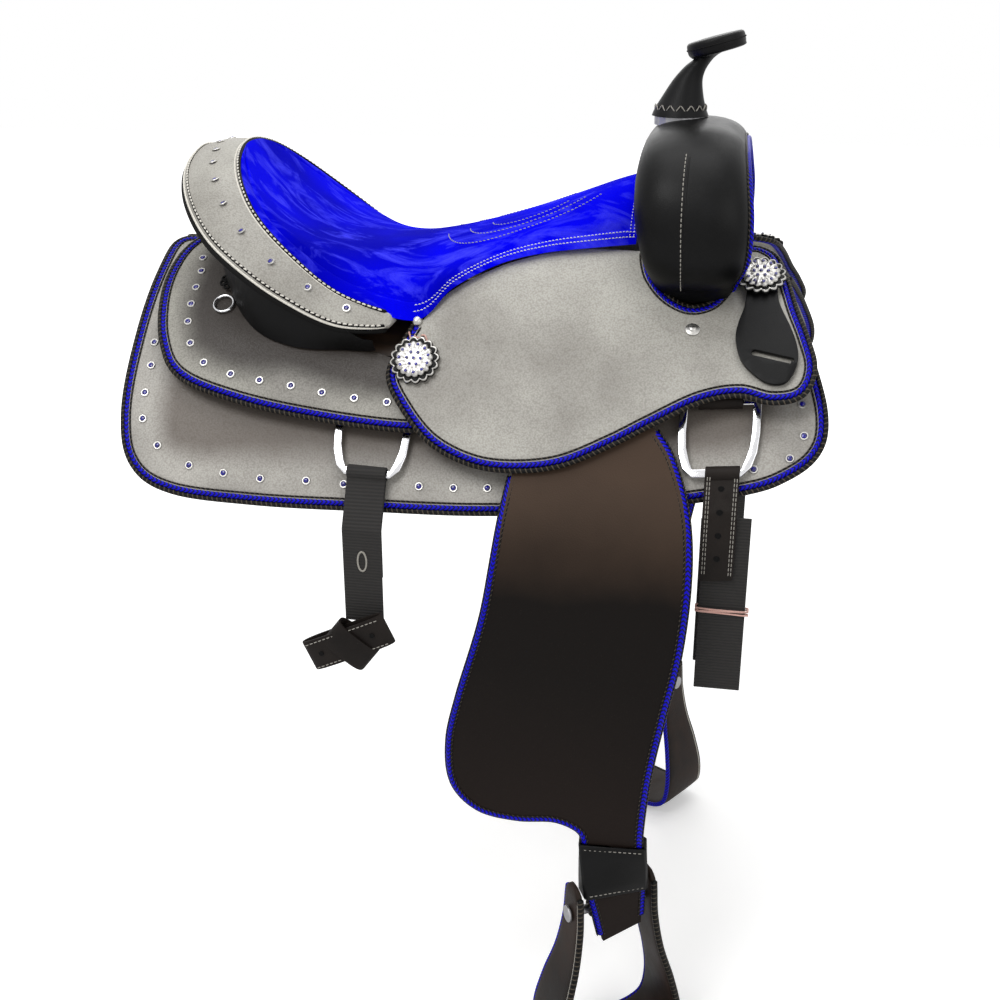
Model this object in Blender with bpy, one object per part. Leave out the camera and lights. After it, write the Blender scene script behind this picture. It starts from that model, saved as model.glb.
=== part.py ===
"""Western ranch saddle with fenders, stirrups, dee rings and billets.

Frame: +X towards the horn, +Y the near (left) side, +Z up, metres.
The origin is on the spine line under the middle of the saddle, at the fleece's inner face.
"""
import math

import bmesh
import bpy
from mathutils import Matrix, Vector

# General clearances
GAP = 0.0003
LOOSE_GAP = 0.001

# Shape of the back that the saddle is fitted to
BARREL_RADIUS = 0.42
SPINE_ANGLE = math.radians(22.0)
RIDGE_RISE = 0.018
RIDGE_SPAN = 0.31
STEP_ALONG = 0.09
STEP_DOWN = 0.03

# Layer thicknesses
FLEECE_THICKNESS = 0.012
SKIRT_THICKNESS = 0.0045
BAR_THICKNESS = 0.022
JOCKEY_THICKNESS = 0.004
REAR_JOCKEY_THICKNESS = 0.004
KEEPER_THICKNESS = 0.004
KEEPER_CLEARANCE = 0.0022
FENDER_THICKNESS = 0.0045
PIPING_RADIUS = 0.0035
FLEECE_INSET = 0.006

# Outlines on the back, as distance forward and distance down the side from the spine; C marks a corner
SKIRT_OUTLINE = [
    (-0.340, -0.002, "C"), (-0.366, 0.012), (-0.369, 0.060), (-0.367, 0.150), (-0.363, 0.235),
    (-0.347, 0.282), (-0.306, 0.300), (-0.220, 0.298), (-0.100, 0.290), (0.015, 0.285), (0.140, 0.276),
    (0.262, 0.262), (0.306, 0.249), (0.331, 0.228), (0.335, 0.195), (0.322, 0.140), (0.296, 0.048, "C"),
    (0.150, 0.038), (0.000, 0.036), (-0.200, 0.034), (-0.285, 0.012),
]
SKIRT_PIPED = (0, 16)
REAR_JOCKEY_OUTLINE = [
    (-0.300, 0.004, "C"), (-0.331, 0.023), (-0.345, 0.055), (-0.346, 0.105), (-0.331, 0.160),
    (-0.304, 0.191), (-0.239, 0.206), (-0.143, 0.213), (-0.071, 0.215), (-0.040, 0.212, "C"),
    (-0.035, 0.165, "C"),
]
REAR_JOCKEY_TUCK = 0.006
REAR_JOCKEY_TUCK_ANGLES = (80, 70, 60, 50, 40, 30, 20, 12, 5)
JOCKEY_OUTLINE = [
    (-0.060, 0.124, "C"), (-0.074, 0.148), (-0.082, 0.172), (-0.068, 0.196), (-0.036, 0.227), (0.004, 0.244),
    (0.045, 0.248), (0.092, 0.242), (0.138, 0.223), (0.174, 0.205), (0.219, 0.184), (0.257, 0.178),
    (0.288, 0.186), (0.313, 0.182), (0.321, 0.160), (0.313, 0.129), (0.302, 0.097), (0.292, 0.058),
    (0.283, 0.030), (0.273, 0.019), (0.263, 0.016), (0.254, 0.022), (0.249, 0.040), (0.242, 0.070),
    (0.228, 0.093), (0.205, 0.101), (0.181, 0.092), (0.163, 0.074), (0.156, 0.057), (0.154, 0.042, "C"),
    (0.092, 0.051), (0.042, 0.061), (0.004, 0.074), (-0.036, 0.097),
]
JOCKEY_PIPED = (0, 29)
KEEPER_OUTLINE = [
    (0.258, 0.086), (0.257, 0.098), (0.252, 0.117), (0.251, 0.132), (0.257, 0.152), (0.269, 0.166),
    (0.284, 0.176), (0.298, 0.177), (0.306, 0.169), (0.3105, 0.155), (0.309, 0.141), (0.303, 0.123),
    (0.293, 0.100), (0.289, 0.085), (0.287, 0.060), (0.272, 0.046), (0.262, 0.052),
]
KEEPER_SLOT = (0.286, 0.150, 0.038, 0.0095, math.radians(16.0))

# Height of the leather over the tree, down the side and along the saddle
FLAP_HEIGHTS = [(0.15, 0.046), (0.20, 0.045), (0.25, 0.0435)]
FLANK_HEIGHTS = [(0.00, 0.045), (0.05, 0.042), (0.10, 0.028), (0.15, 0.010), (0.20, 0.002), (0.25, 0.0)]
FLANK_SHARE = [(0.12, 1.0), (0.20, 0.35), (0.28, 0.0)]
REAR_HEIGHTS = [(0.15, 0.044), (0.22, 0.036)]
REAR_DROP = [(0.27, 0.0), (0.36, 0.012)]

# Tree
BAR_REAR, BAR_FRONT = -0.276, 0.278
BAR_TOP, BAR_BOTTOM = 0.048, 0.150
BAR_NOTCH_DEPTH = 0.014
BAR_NOTCH_HALF = 0.058
BAR_NOTCH_SLOPE = 0.010
BAR_TIP, BAR_SHOULDER, BAR_END_STEP = 0.03, 0.10, 0.008
FORK_SECTIONS = [
    # forward, across, up, half length, half depth: from the foot over the swell to the crown
    (0.207, 0.083, -0.010, 0.016, 0.010), (0.207, 0.089, 0.020, 0.016, 0.011),
    (0.206, 0.096, 0.037, 0.023, 0.015), (0.206, 0.119, 0.062, 0.046, 0.029),
    (0.203, 0.121, 0.092, 0.051, 0.034), (0.200, 0.106, 0.119, 0.050, 0.033),
    (0.199, 0.074, 0.137, 0.048, 0.029), (0.199, 0.038, 0.144, 0.047, 0.027),
    (0.199, 0.0, 0.146, 0.046, 0.027),
]
FORK_SIDES = 14
FORK_SQUARENESS = 2.6
FORK_BED_HALF = 0.09
FORK_BED_MARGIN = 0.03
FORK_BED_DEEP = 0.08
SWELL_COVER_THICKNESS = 0.003
COVER_GAP = 0.0023
HORN_SEAT_Z = 0.1695
HORN_SEAT_RADIUS = 0.026
HORN_RINGS = [
    # forward, up, radius, tilt in degrees: neck, then the cap
    (0.180, 0.1780, 0.0290, 0), (0.180, 0.1850, 0.0262, 0), (0.182, 0.1980, 0.0205, 0),
    (0.186, 0.2140, 0.0150, 4), (0.194, 0.2270, 0.0126, 8), (0.204, 0.2360, 0.0140, 14),
    (0.2145, 0.2400, 0.0262, 15), (0.2135, 0.2440, 0.0290, 15), (0.2114, 0.2520, 0.0290, 15),
    (0.2107, 0.2545, 0.0262, 15),
]
HORN_SIDES = 18
HORN_COVER_THICKNESS = 0.0026

# Cantle: crest curve from the rear middle (0) to the front ends (90 degrees)
CREST_X = -0.067
CREST_LENGTH = 0.213
CREST_POWER = 0.75
CREST_HALF_WIDTHS = [
    (0, 0.0), (15, 0.052), (30, 0.098), (45, 0.132), (60, 0.149), (75, 0.154), (90, 0.151),
]
CREST_HEIGHTS = [
    (0, 0.146), (15, 0.138), (30, 0.116), (45, 0.086), (60, 0.053), (75, 0.0165), (90, -0.0075),
]
ROLL_WIDTHS = [
    (0, 0.060), (15, 0.062), (30, 0.058), (45, 0.051), (60, 0.041), (75, 0.024), (84, 0.012), (88, 0.006),
]
ROLL_DROPS = [
    (0, 0.008), (15, 0.016), (30, 0.022), (45, 0.029), (60, 0.033), (75, 0.028), (84, 0.018), (88, 0.010),
]
ROLL_CROWNS = [(0, 0.004), (15, 0.006), (30, 0.008), (45, 0.007), (60, 0.005), (84, 0.002)]
ROLL_START = 0.0008
ROLL_THICKNESS = 0.008
ROLL_CLEARANCE = 0.0030
CREST_STATIONS = (8, 20, 34, 48, 62, 76)
ROLL_END = 88
BOARD_TOP_IN = [(0, 0.016), (34, 0.012), (62, 0.006)]
BOARD_TOP_WIDTHS = [(0, 0.024), (48, 0.022), (62, 0.018), (76, 0.008)]
BOARD_FOOT_IN = [(0, -0.006), (34, -0.010), (48, -0.014), (76, -0.026)]
BOARD_FOOT_WIDTH = 0.018
BOARD_FOOT_GAP = 0.0012
BOARD_ARCH = [(0, 0.042), (12, 0.039), (20, 0.029), (26, -1.0)]
CANTLE_BACK_THICKNESS = 0.003
CANTLE_BACK_FOOT = 0.009

# Seat
SEAT_MIDDLE = [
    (-0.2798, 0.1457), (-0.258, 0.116), (-0.224, 0.080), (-0.186, 0.056), (-0.146, 0.047), (-0.104, 0.047),
]
SEAT_END_MIDDLE = (-0.066, 0.053)
SEAT_FRONT_MIDDLE = [(-0.020, 0.063), (0.030, 0.078), (0.078, 0.095), (0.118, 0.110), (0.146, 0.119)]
SEAT_FRONT_EDGE = [(-0.030, 0.096), (0.012, 0.073), (0.056, 0.062), (0.102, 0.054), (0.146, 0.041)]
SEAT_THICKNESS = 0.012
SEAT_RIM = 0.005
SEAT_RIM_CLEARANCE = 0.0040
RIM_TAPER = 0.65
SEAT_BOWL_POWER = 2.2
SEAT_ACROSS = (0.0, 0.22, 0.44, 0.62, 0.76, 0.835, 0.875, 0.915, 1.0)
SEAT_CHANNEL = 0.875
GROUND_SEAT_ACROSS = 0.62
GROUND_SEAT_THICKNESS = 0.004
SEAT_CHANNEL_DEPTH = 0.0025

# Rigging
DEE_WIDTH = 0.078
DEE_BAR = 0.008
DEE_THICKNESS = 0.004
REAR_DEE_X, REAR_DEE_TOP, REAR_DEE_BOTTOM = -0.101, 0.195, 0.262
FRONT_DEE_X, FRONT_DEE_TOP, FRONT_DEE_BOTTOM = 0.241, 0.181, 0.250
LOOP_BORE = 0.0048
LOOP_WALL = 0.0025
LOOP_CLEARANCE = 0.0009
RIGGING_WIDTH = 0.042
RIGGING_THICKNESS = 0.006
RIGGING_TOP = 0.154
RIGGING_BAND = 0.016
STRAP_THICKNESS = 0.005
PLUMB_FROM = [(-0.30, 0.324), (0.0, 0.312), (0.30, 0.280)]
REAR_BILLET_WIDTH = 0.042
REAR_BILLET_END = -0.295
FRONT_BILLET_WIDTH = 0.031
FRONT_BILLET_END = -0.232
FRONT_BILLET_SHIFT = 0.006
WEBBING_SHIFT = 0.008
WEBBING_START = 0.006
WEBBING_WIDTH = 0.047
WEBBING_END = -0.360
WEBBING_THICKNESS = 0.003
BUNDLE_LENGTH = 0.098
BUNDLE_WIDTH = 0.040
BUNDLE_THICKNESS = 0.022
BUNDLE_CENTRE = (-0.1150, -0.318)
BUNDLE_TILT = math.radians(-25.0)
STRING_DEE_AHEAD = 0.004
STRING_DEE_X, STRING_DEE_TOP = CREST_X - CREST_LENGTH + STRING_DEE_AHEAD, 0.106
STRING_DEE_RADIUS = 0.0105
STRING_DEE_WIRE = 0.0016
STRING_LOOP_BORE = 0.0031
STRING_LOOP_WALL = 0.0014
STRING_LOOP_WIDTH = 0.007

# Stirrup leathers, fender and stirrup
LEATHER_X = 0.115
LEATHER_WIDTH = 0.060
LEATHER_THICKNESS = 0.0035
LEATHER_GAP = 0.0004
LEATHER_BEND_ALLOWANCE = 1.12
LEATHER_SLIDE_LOW, LEATHER_SLIDE_HIGH = -0.50, -0.20
UPPER_TOP = 0.052
UPPER_END = (0.234, 0.214)
UPPER_LIP = 0.016
UPPER_HEIGHTS = [(0.15, 0.0431), (0.24, 0.0285)]
FENDER_PATH = [
    # up, out: the fender leaves the tree's slope and hangs plumb
    (-0.0600, 0.1665), (-0.0971, 0.1947), (-0.1210, 0.2100), (-0.1433, 0.2239), (-0.1640, 0.2375),
    (-0.1950, 0.2535), (-0.2350, 0.2650), (-0.2900, 0.2680), (-0.4000, 0.2680), (-0.5200, 0.2680),
    (-0.5500, 0.2680), (-0.5800, 0.2680), (-0.6500, 0.2680),
]
FENDER_OUTLINE = [
    (0.047, -0.1370, "C"), (0.041, -0.173), (0.027, -0.270), (0.001, -0.366), (-0.010, -0.420),
    (-0.006, -0.468), (0.020, -0.496), (0.060, -0.503), (0.100, -0.500), (0.127, -0.511),
    (0.1325, -0.530), (0.1330, -0.556), (0.134, -0.590), (0.146, -0.642, "C"), (0.190, -0.630, "C"),
    (0.190, -0.580), (0.187, -0.520), (0.192, -0.445), (0.203, -0.374), (0.216, -0.300),
    (0.221, -0.225), (0.216, -0.169), (0.198, -0.121), (0.177, -0.0940, "C"), (0.140, -0.1060),
    (0.093, -0.1215),
]
FLAP_AXIS_REAR = (0.045, -0.1433)
NECK_X = 0.160
NECK_WIDTH = 0.050
HOBBLE_TOP, HOBBLE_BOTTOM = -0.524, -0.584
HOBBLE_WALL = 0.0028
HOBBLE_WIDTH = 0.070
BUCKLE_WIDTH, BUCKLE_HEIGHT, BUCKLE_THICKNESS, BUCKLE_Z = 0.052, 0.050, 0.0025, -0.470
BOLT_Z = -0.606
BOLT_RADIUS = 0.005
BOLT_CLEARANCE = 0.0006
TWIST_TOP, TWIST_BOTTOM = -0.515, -0.600
TWIST_ANGLE = math.radians(-32.0)
TWIST_CUTS = (-0.515, -0.524, -0.539, -0.554, -0.569, -0.584, -0.600)
STIRRUP_ARM = [
    # out from the middle, up, half depth: from the ear down to the middle of the tread
    (0.0430, -0.570, 0.013), (0.0430, -0.590, 0.016), (0.0440, -0.622, 0.019), (0.0500, -0.662, 0.024),
    (0.0610, -0.702, 0.031), (0.0685, -0.742, 0.037), (0.0660, -0.773, 0.040), (0.0520, -0.786, 0.041),
    (0.0280, -0.791, 0.041), (0.0140, -0.791, 0.041), (0.0, -0.791, 0.041),
]
STIRRUP_WALL = 0.008
STIRRUP_SECTION = [(-1, -0.9), (-0.55, -1), (0.55, -1), (1, -0.9), (1, 0.9), (0.55, 1), (-0.55, 1), (-1, 0.9)]
CONCHO_RADIUS = 0.0195
ROSETTE_RADIUS = 0.0255
CONCHO_SCALLOPS = 16
REAR_CONCHO = (-0.061, 0.160)
FRONT_CONCHO = (0.271, 0.064)

# Layer bottoms worked out from the thicknesses above
SKIRT_DEPTH = FLEECE_THICKNESS + GAP
SKIRT_FACE = SKIRT_DEPTH + SKIRT_THICKNESS
BAR_DEPTH = SKIRT_FACE + GAP
BAR_FACE = BAR_DEPTH + BAR_THICKNESS
LOOP_OUTER = LOOP_BORE + LOOP_WALL
DEE_DEPTH = SKIRT_FACE + LOOP_CLEARANCE + LOOP_OUTER
FENDER_PLUMB = FENDER_PATH[-1][1]
BOLT_BORE = BOLT_RADIUS + BOLT_CLEARANCE
STRAP_Y = FENDER_PLUMB - FENDER_THICKNESS / 2 - LEATHER_GAP - BOLT_BORE - LEATHER_THICKNESS

# Colours as linear RGB, roughness, metallic
MATERIALS = {
    "suede": ((0.004, 0.004, 0.90), 0.9, 0.0),
    "grey_leather": ((0.30, 0.29, 0.27), 0.55, 0.0),
    "black_leather": ((0.012, 0.012, 0.012), 0.45, 0.0),
    "brown_leather": ((0.035, 0.024, 0.018), 0.6, 0.0),
    "fleece": ((0.75, 0.71, 0.62), 1.0, 0.0),
    "wood": ((0.42, 0.28, 0.14), 0.6, 0.0),
    "steel": ((0.62, 0.62, 0.63), 0.3, 1.0),
    "chrome": ((0.85, 0.85, 0.87), 0.12, 1.0),
    "blue_piping": ((0.004, 0.004, 0.75), 0.5, 0.0),
}


def ramp(value, table):
    """Value read from a table of pairs with straight lines between them."""
    if value <= table[0][0]:
        return table[0][1]
    for (low, first), (high, second) in zip(table, table[1:]):
        if value <= high:
            return first + (second - first) * (value - low) / (high - low)
    return table[-1][1]


def ridge(x):
    """Height of the spine line along the back."""
    return RIDGE_RISE * (x / RIDGE_SPAN) ** 2


def ridge_slope(x):
    """Slope of the spine line about a place, as the facets of the back have it."""
    return (on_back(x + 0.02, 0.0, 0.0, flat) - on_back(x - 0.02, 0.0, 0.0, flat)).z / 0.04


def flat(_x, _down):
    """Depth of a layer that lies on the back itself."""
    return 0.0


def barrel(x, down, out):
    """Point on the near side of the back: down its side from the spine, and out from its surface."""
    angle = SPINE_ANGLE + down / BARREL_RADIUS
    across = BARREL_RADIUS * (math.sin(angle) - math.sin(SPINE_ANGLE)) + out * math.sin(angle)
    drop = BARREL_RADIUS * (math.cos(SPINE_ANGLE) - math.cos(angle)) - out * math.cos(angle)
    return Vector((x, across, ridge(x) - drop))


def barrel_height(x, across, out):
    """Height of the layer that lies out from the back, over a place across it."""
    sine = (across + BARREL_RADIUS * math.sin(SPINE_ANGLE)) / (BARREL_RADIUS + out)
    cosine = math.sqrt(1.0 - sine * sine)
    return ridge(x) - BARREL_RADIUS * (math.cos(SPINE_ANGLE) - cosine) + out * cosine


def on_back(x, down, out, depth):
    """Point of a bent panel, whose facets share their lines with every other layer on the back."""
    low_x = math.floor(x / STEP_ALONG + 1e-6) * STEP_ALONG
    low_s = math.floor(down / STEP_DOWN + 1e-6) * STEP_DOWN
    u, v = (x - low_x) / STEP_ALONG, (down - low_s) / STEP_DOWN
    point = Vector((0.0, 0.0, 0.0))
    for dx, share_x in ((0.0, 1.0 - u), (STEP_ALONG, u)):
        for ds, share_s in ((0.0, 1.0 - v), (STEP_DOWN, v)):
            knot_x, knot_s = low_x + dx, low_s + ds
            point += barrel(knot_x, knot_s, depth(knot_x, knot_s) + out) * (share_x * share_s)
    return point


def jockey_face(x, down):
    """Outer face of the seat jockey over the back."""
    return ramp(down, FLAP_HEIGHTS) + ramp(down, FLANK_HEIGHTS) * ramp(x, FLANK_SHARE)


def rear_jockey_face(x, down):
    """Outer face of the rear jockey over the back."""
    return ramp(down, REAR_HEIGHTS) - ramp(-x, REAR_DROP)


def fender_out(z):
    """How far out the middle of the fender hangs at a height."""
    return ramp(-z, [(-height, out) for height, out in FENDER_PATH])


def twist_point(point):
    """Turn of the neck that points the stirrup forward."""
    share = min(1.0, max(0.0, (TWIST_TOP - point.z) / (TWIST_TOP - TWIST_BOTTOM)))
    centre = Vector((NECK_X, STRAP_Y, 0.0))
    return Matrix.Rotation(TWIST_ANGLE * share, 3, "Z") @ (point - centre) + centre


def smooth_outline(points, steps=3):
    """Closed outline through the chosen points, round between them except at corners."""
    count = len(points)
    result = []
    for index in range(count):
        here, after = points[index], points[(index + 1) % count]
        p1, p2 = Vector(here[:2]), Vector(after[:2])
        p0 = p1 * 2 - p2 if len(here) > 2 else Vector(points[index - 1][:2])
        p3 = p2 * 2 - p1 if len(after) > 2 else Vector(points[(index + 2) % count][:2])
        for step in range(steps):
            t = step / steps
            result.append(catmull(p0, p1, p2, p3, t))
    return result


def catmull(p0, p1, p2, p3, t):
    """Point on a smooth curve from p1 to p2."""
    a = -p0 + p1 * 3.0 - p2 * 3.0 + p3
    b = p0 * 2.0 - p1 * 5.0 + p2 * 4.0 - p3
    return (a * t ** 3 + b * t ** 2 + (p2 - p0) * t + p1 * 2.0) * 0.5


def clear_scene():
    """Remove what the file holds and make the two collections."""
    for obj in list(bpy.data.objects):
        bpy.data.objects.remove(obj, do_unlink=True)
    saddle = bpy.data.collections.new("ranch_saddle")
    cutters = bpy.data.collections.new("cutters")
    for collection in (saddle, cutters):
        bpy.context.scene.collection.children.link(collection)
    return saddle, cutters


def make_material(name):
    """Plain material with the leather, metal or cloth colour."""
    existing = bpy.data.materials.get(name)
    if existing:
        return existing
    colour, roughness, metallic = MATERIALS[name]
    material = bpy.data.materials.new(name)
    material.use_nodes = True
    shader = material.node_tree.nodes["Principled BSDF"]
    shader.inputs["Base Color"].default_value = (*colour, 1.0)
    shader.inputs["Roughness"].default_value = roughness
    shader.inputs["Metallic"].default_value = metallic
    return material


def add_object(name, bm, material, origin=(0.0, 0.0, 0.0), collection=None):
    """Object with its own mesh, whose origin is at the given place."""
    bmesh.ops.recalc_face_normals(bm, faces=bm.faces)
    if bm.calc_volume(signed=True) < 0.0:
        bmesh.ops.reverse_faces(bm, faces=bm.faces)
    bmesh.ops.translate(bm, vec=-Vector(origin), verts=bm.verts)
    mesh = bpy.data.meshes.new(name)
    bm.to_mesh(mesh)
    bm.free()
    mesh.shade_smooth()
    mesh.set_sharp_from_angle(angle=math.radians(35.0))
    obj = bpy.data.objects.new(name, mesh)
    obj.location = origin
    obj.data.materials.append(make_material(material))
    (collection or SADDLE).objects.link(obj)
    return obj


def mirror(bm, side):
    """Near-side shape taken to its own side: +1 near, -1 off."""
    if side < 0:
        bmesh.ops.scale(bm, vec=(1.0, -1.0, 1.0), verts=bm.verts)


def slab(outlines, thickness):
    """Flat slab from closed outlines, the first outside and the others holes, standing on zero height."""
    curve = bpy.data.curves.new("outline", "CURVE")
    curve.dimensions = "2D"
    curve.fill_mode = "BOTH"
    curve.extrude = thickness / 2
    for outline in outlines:
        spline = curve.splines.new("POLY")
        spline.points.add(len(outline) - 1)
        for point, (a, b) in zip(spline.points, outline):
            point.co = (a, b, 0.0, 1.0)
        spline.use_cyclic_u = True
    bm = mesh_of_curve(curve)
    bmesh.ops.translate(bm, vec=(0.0, 0.0, thickness / 2), verts=bm.verts)
    if len(outlines) == 1:
        bmesh.ops.dissolve_limit(bm, angle_limit=math.radians(0.5), verts=bm.verts, edges=bm.edges)
    return bm


def mesh_of_curve(curve):
    """Welded mesh of a curve, which is removed."""
    guide = bpy.data.objects.new("guide", curve)
    CUTTERS.objects.link(guide)
    mesh = bpy.data.meshes.new_from_object(guide.evaluated_get(bpy.context.evaluated_depsgraph_get()))
    bm = bmesh.new()
    bm.from_mesh(mesh)
    bmesh.ops.remove_doubles(bm, verts=bm.verts, dist=0.00002)
    bpy.data.objects.remove(guide)
    bpy.data.curves.remove(curve)
    bpy.data.meshes.remove(mesh)
    return bm


def slice_along(bm, axis, places):
    """Cut faces along planes without taking anything away."""
    normal = Vector((0.0, 0.0, 0.0))
    normal[axis] = 1.0
    for place in places:
        bmesh.ops.bisect_plane(bm, geom=bm.verts[:] + bm.edges[:] + bm.faces[:], dist=1e-7,
                               plane_co=normal * place, plane_no=normal)


def grid_lines(low, high, step):
    """Multiples of a step inside a range."""
    first = math.ceil(low / step)
    return [index * step for index in range(first, math.floor(high / step) + 1)]


def bend(bm, point_of):
    """Triangulate a flat slab and move each vertex to its place."""
    bmesh.ops.triangulate(bm, faces=bm.faces)
    for vert in bm.verts:
        vert.co = point_of(*vert.co)


def back_panel_mesh(outlines, thickness, inner_depth):
    """Slab cut along the facet lines and bent over the back."""
    bm = slab(outlines, thickness)
    xs = [vert.co.x for vert in bm.verts]
    ys = [vert.co.y for vert in bm.verts]
    slice_along(bm, 0, grid_lines(min(xs), max(xs), STEP_ALONG))
    slice_along(bm, 1, grid_lines(min(ys), max(ys), STEP_DOWN))
    bend(bm, lambda x, down, out: on_back(x, down, out, inner_depth))
    return bm


def inset(outline, distance):
    """Outline drawn in by a distance, or out where it is negative."""
    count = len(outline)
    area = sum(outline[i - 1].x * outline[i].y - outline[i].x * outline[i - 1].y for i in range(count))
    turn = 1.0 if area > 0 else -1.0
    result = []
    for index in range(count):
        along = (outline[(index + 1) % count] - outline[index - 1]).normalized()
        result.append(outline[index] + Vector((-along.y, along.x)) * (distance * turn))
    return result


def loft(rings, closed=False, caps=True):
    """Skin through rings of equal point counts, closed round on itself or capped."""
    bm = bmesh.new()
    rows = [[bm.verts.new(point) for point in ring] for ring in rings]
    pairs = list(zip(rows, rows[1:])) + ([(rows[-1], rows[0])] if closed else [])
    for first, second in pairs:
        for index in range(len(first)):
            bm.faces.new((first[index - 1], first[index], second[index], second[index - 1]))
    bmesh.ops.triangulate(bm, faces=bm.faces, quad_method="FIXED")
    if caps and not closed:
        bm.faces.new(rows[0])
        bm.faces.new(rows[-1])
    return bm


def tube(points, radius, cyclic=False, resolution=1):
    """Round bar along points."""
    curve = bpy.data.curves.new("tube", "CURVE")
    curve.dimensions = "3D"
    curve.bevel_depth = radius
    curve.bevel_resolution = resolution
    curve.use_fill_caps = True
    spline = curve.splines.new("POLY")
    spline.points.add(len(points) - 1)
    for point, place in zip(spline.points, points):
        point.co = (*place, 1.0)
    spline.use_cyclic_u = cyclic
    return mesh_of_curve(curve)


def combine(target, tool, operation):
    """Boolean of two objects; the tool is removed."""
    modifier = target.modifiers.new(operation.lower(), "BOOLEAN")
    modifier.operation = operation
    modifier.solver = "EXACT"
    modifier.object = tool
    mesh = bpy.data.meshes.new_from_object(target.evaluated_get(bpy.context.evaluated_depsgraph_get()))
    target.modifiers.remove(modifier)
    old = target.data
    name = old.name
    target.data = mesh
    bpy.data.meshes.remove(old)
    mesh.name = name
    bpy.data.objects.remove(tool)
    return target


def tool_object(bm, side=1):
    """Temporary object for a Boolean, on its side."""
    mirror(bm, side)
    tool = add_object("tool", bm, "steel", collection=CUTTERS)
    tool.hide_render = True
    tool.display_type = "WIRE"
    return tool


def side_name(name, side):
    """Node name with the side that the piece is on."""
    return f"{name}_{'left' if side > 0 else 'right'}"


def flip(point, side):
    """Near-side point taken to its own side."""
    return Vector((point[0], point[1] * side, point[2]))


def circle(radius, sides, centre=(0.0, 0.0)):
    """Points round a circle."""
    turns = [2 * math.pi * index / sides for index in range(sides)]
    return [Vector((centre[0] + radius * math.cos(a), centre[1] + radius * math.sin(a))) for a in turns]


def looped_strap(centre, path, half, width, middle_x, bore=None, wall=None):
    """Strap folded round a bar: a loop at its centre, running on along a path in the cross plane."""
    bore, wall = bore or LOOP_BORE, wall or LOOP_WALL
    line = [Vector(centre)] + [Vector(point) for point in path]
    left, right = [], []
    for index in range(1, len(line)):
        before = (line[index] - line[index - 1]).normalized()
        after = (line[index + 1] - line[index]).normalized() if index + 1 < len(line) else before
        along = (before + after).normalized()
        across = Vector((-along.y, along.x)) * (half / max(0.5, along.dot(before)))
        left.append(line[index] + across)
        right.append(line[index] - across)
    start = (line[1] - line[0]).normalized()
    heading = math.atan2(start.y, start.x)
    open_angle = math.asin(half / (bore + wall))
    steps = 12
    sweep = 2 * math.pi - 2 * open_angle
    arc = []
    for step in range(steps + 1):
        angle = heading - open_angle - sweep * step / steps
        arc.append(line[0] + Vector((math.cos(angle), math.sin(angle))) * (bore + wall))
    outline = arc + left + right[::-1]
    bm = slab([outline, circle(bore, 14, centre)], width)
    slope = ridge_slope(middle_x)
    for vert in bm.verts:
        across, up, out = vert.co
        vert.co = (middle_x - width / 2 + out, across, up + slope * (out - width / 2))
    bmesh.ops.triangulate(bm, faces=bm.faces)
    return bm


def box(low, high, bevel=0.0):
    """Box between two corners with rounded edges."""
    bm = bmesh.new()
    bmesh.ops.create_cube(bm, size=1.0)
    low, high = Vector(low), Vector(high)
    bmesh.ops.scale(bm, vec=high - low, verts=bm.verts)
    bmesh.ops.translate(bm, vec=(low + high) / 2, verts=bm.verts)
    if bevel:
        bmesh.ops.bevel(bm, geom=bm.edges, offset=bevel, segments=2, profile=0.5, affect="EDGES")
    return bm


# Skirts, fleece and jockeys


def make_skirt(side):
    """Skirt with its fleece lining and piped edge."""
    outline = smooth_outline(SKIRT_OUTLINE)
    bm = back_panel_mesh([outline], SKIRT_THICKNESS, lambda x, s: SKIRT_DEPTH)
    mirror(bm, side)
    add_object(side_name("skirt", side), bm, "grey_leather")
    bm = back_panel_mesh([inset(outline, FLEECE_INSET)], FLEECE_THICKNESS, lambda x, s: 0.0)
    mirror(bm, side)
    add_object(side_name("fleece", side), bm, "fleece")
    edge = piping_points(SKIRT_OUTLINE, SKIRT_PIPED, lambda x, s: SKIRT_DEPTH + SKIRT_THICKNESS / 2)
    bm = tube(edge, PIPING_RADIUS)
    mirror(bm, side)
    add_object(side_name("skirt_piping", side), bm, "blue_piping")


def piping_points(points, span, depth, steps=3):
    """Points of a cord laid against a panel's edge between two of its outline points."""
    outline = smooth_outline(points, steps)
    cord = inset(outline, -(PIPING_RADIUS + GAP))
    first, last = span[0] * steps + 1, span[1] * steps - 1
    return [on_back(cord[i].x, cord[i].y, 0.0, depth) for i in range(first, last + 1)]


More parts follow.
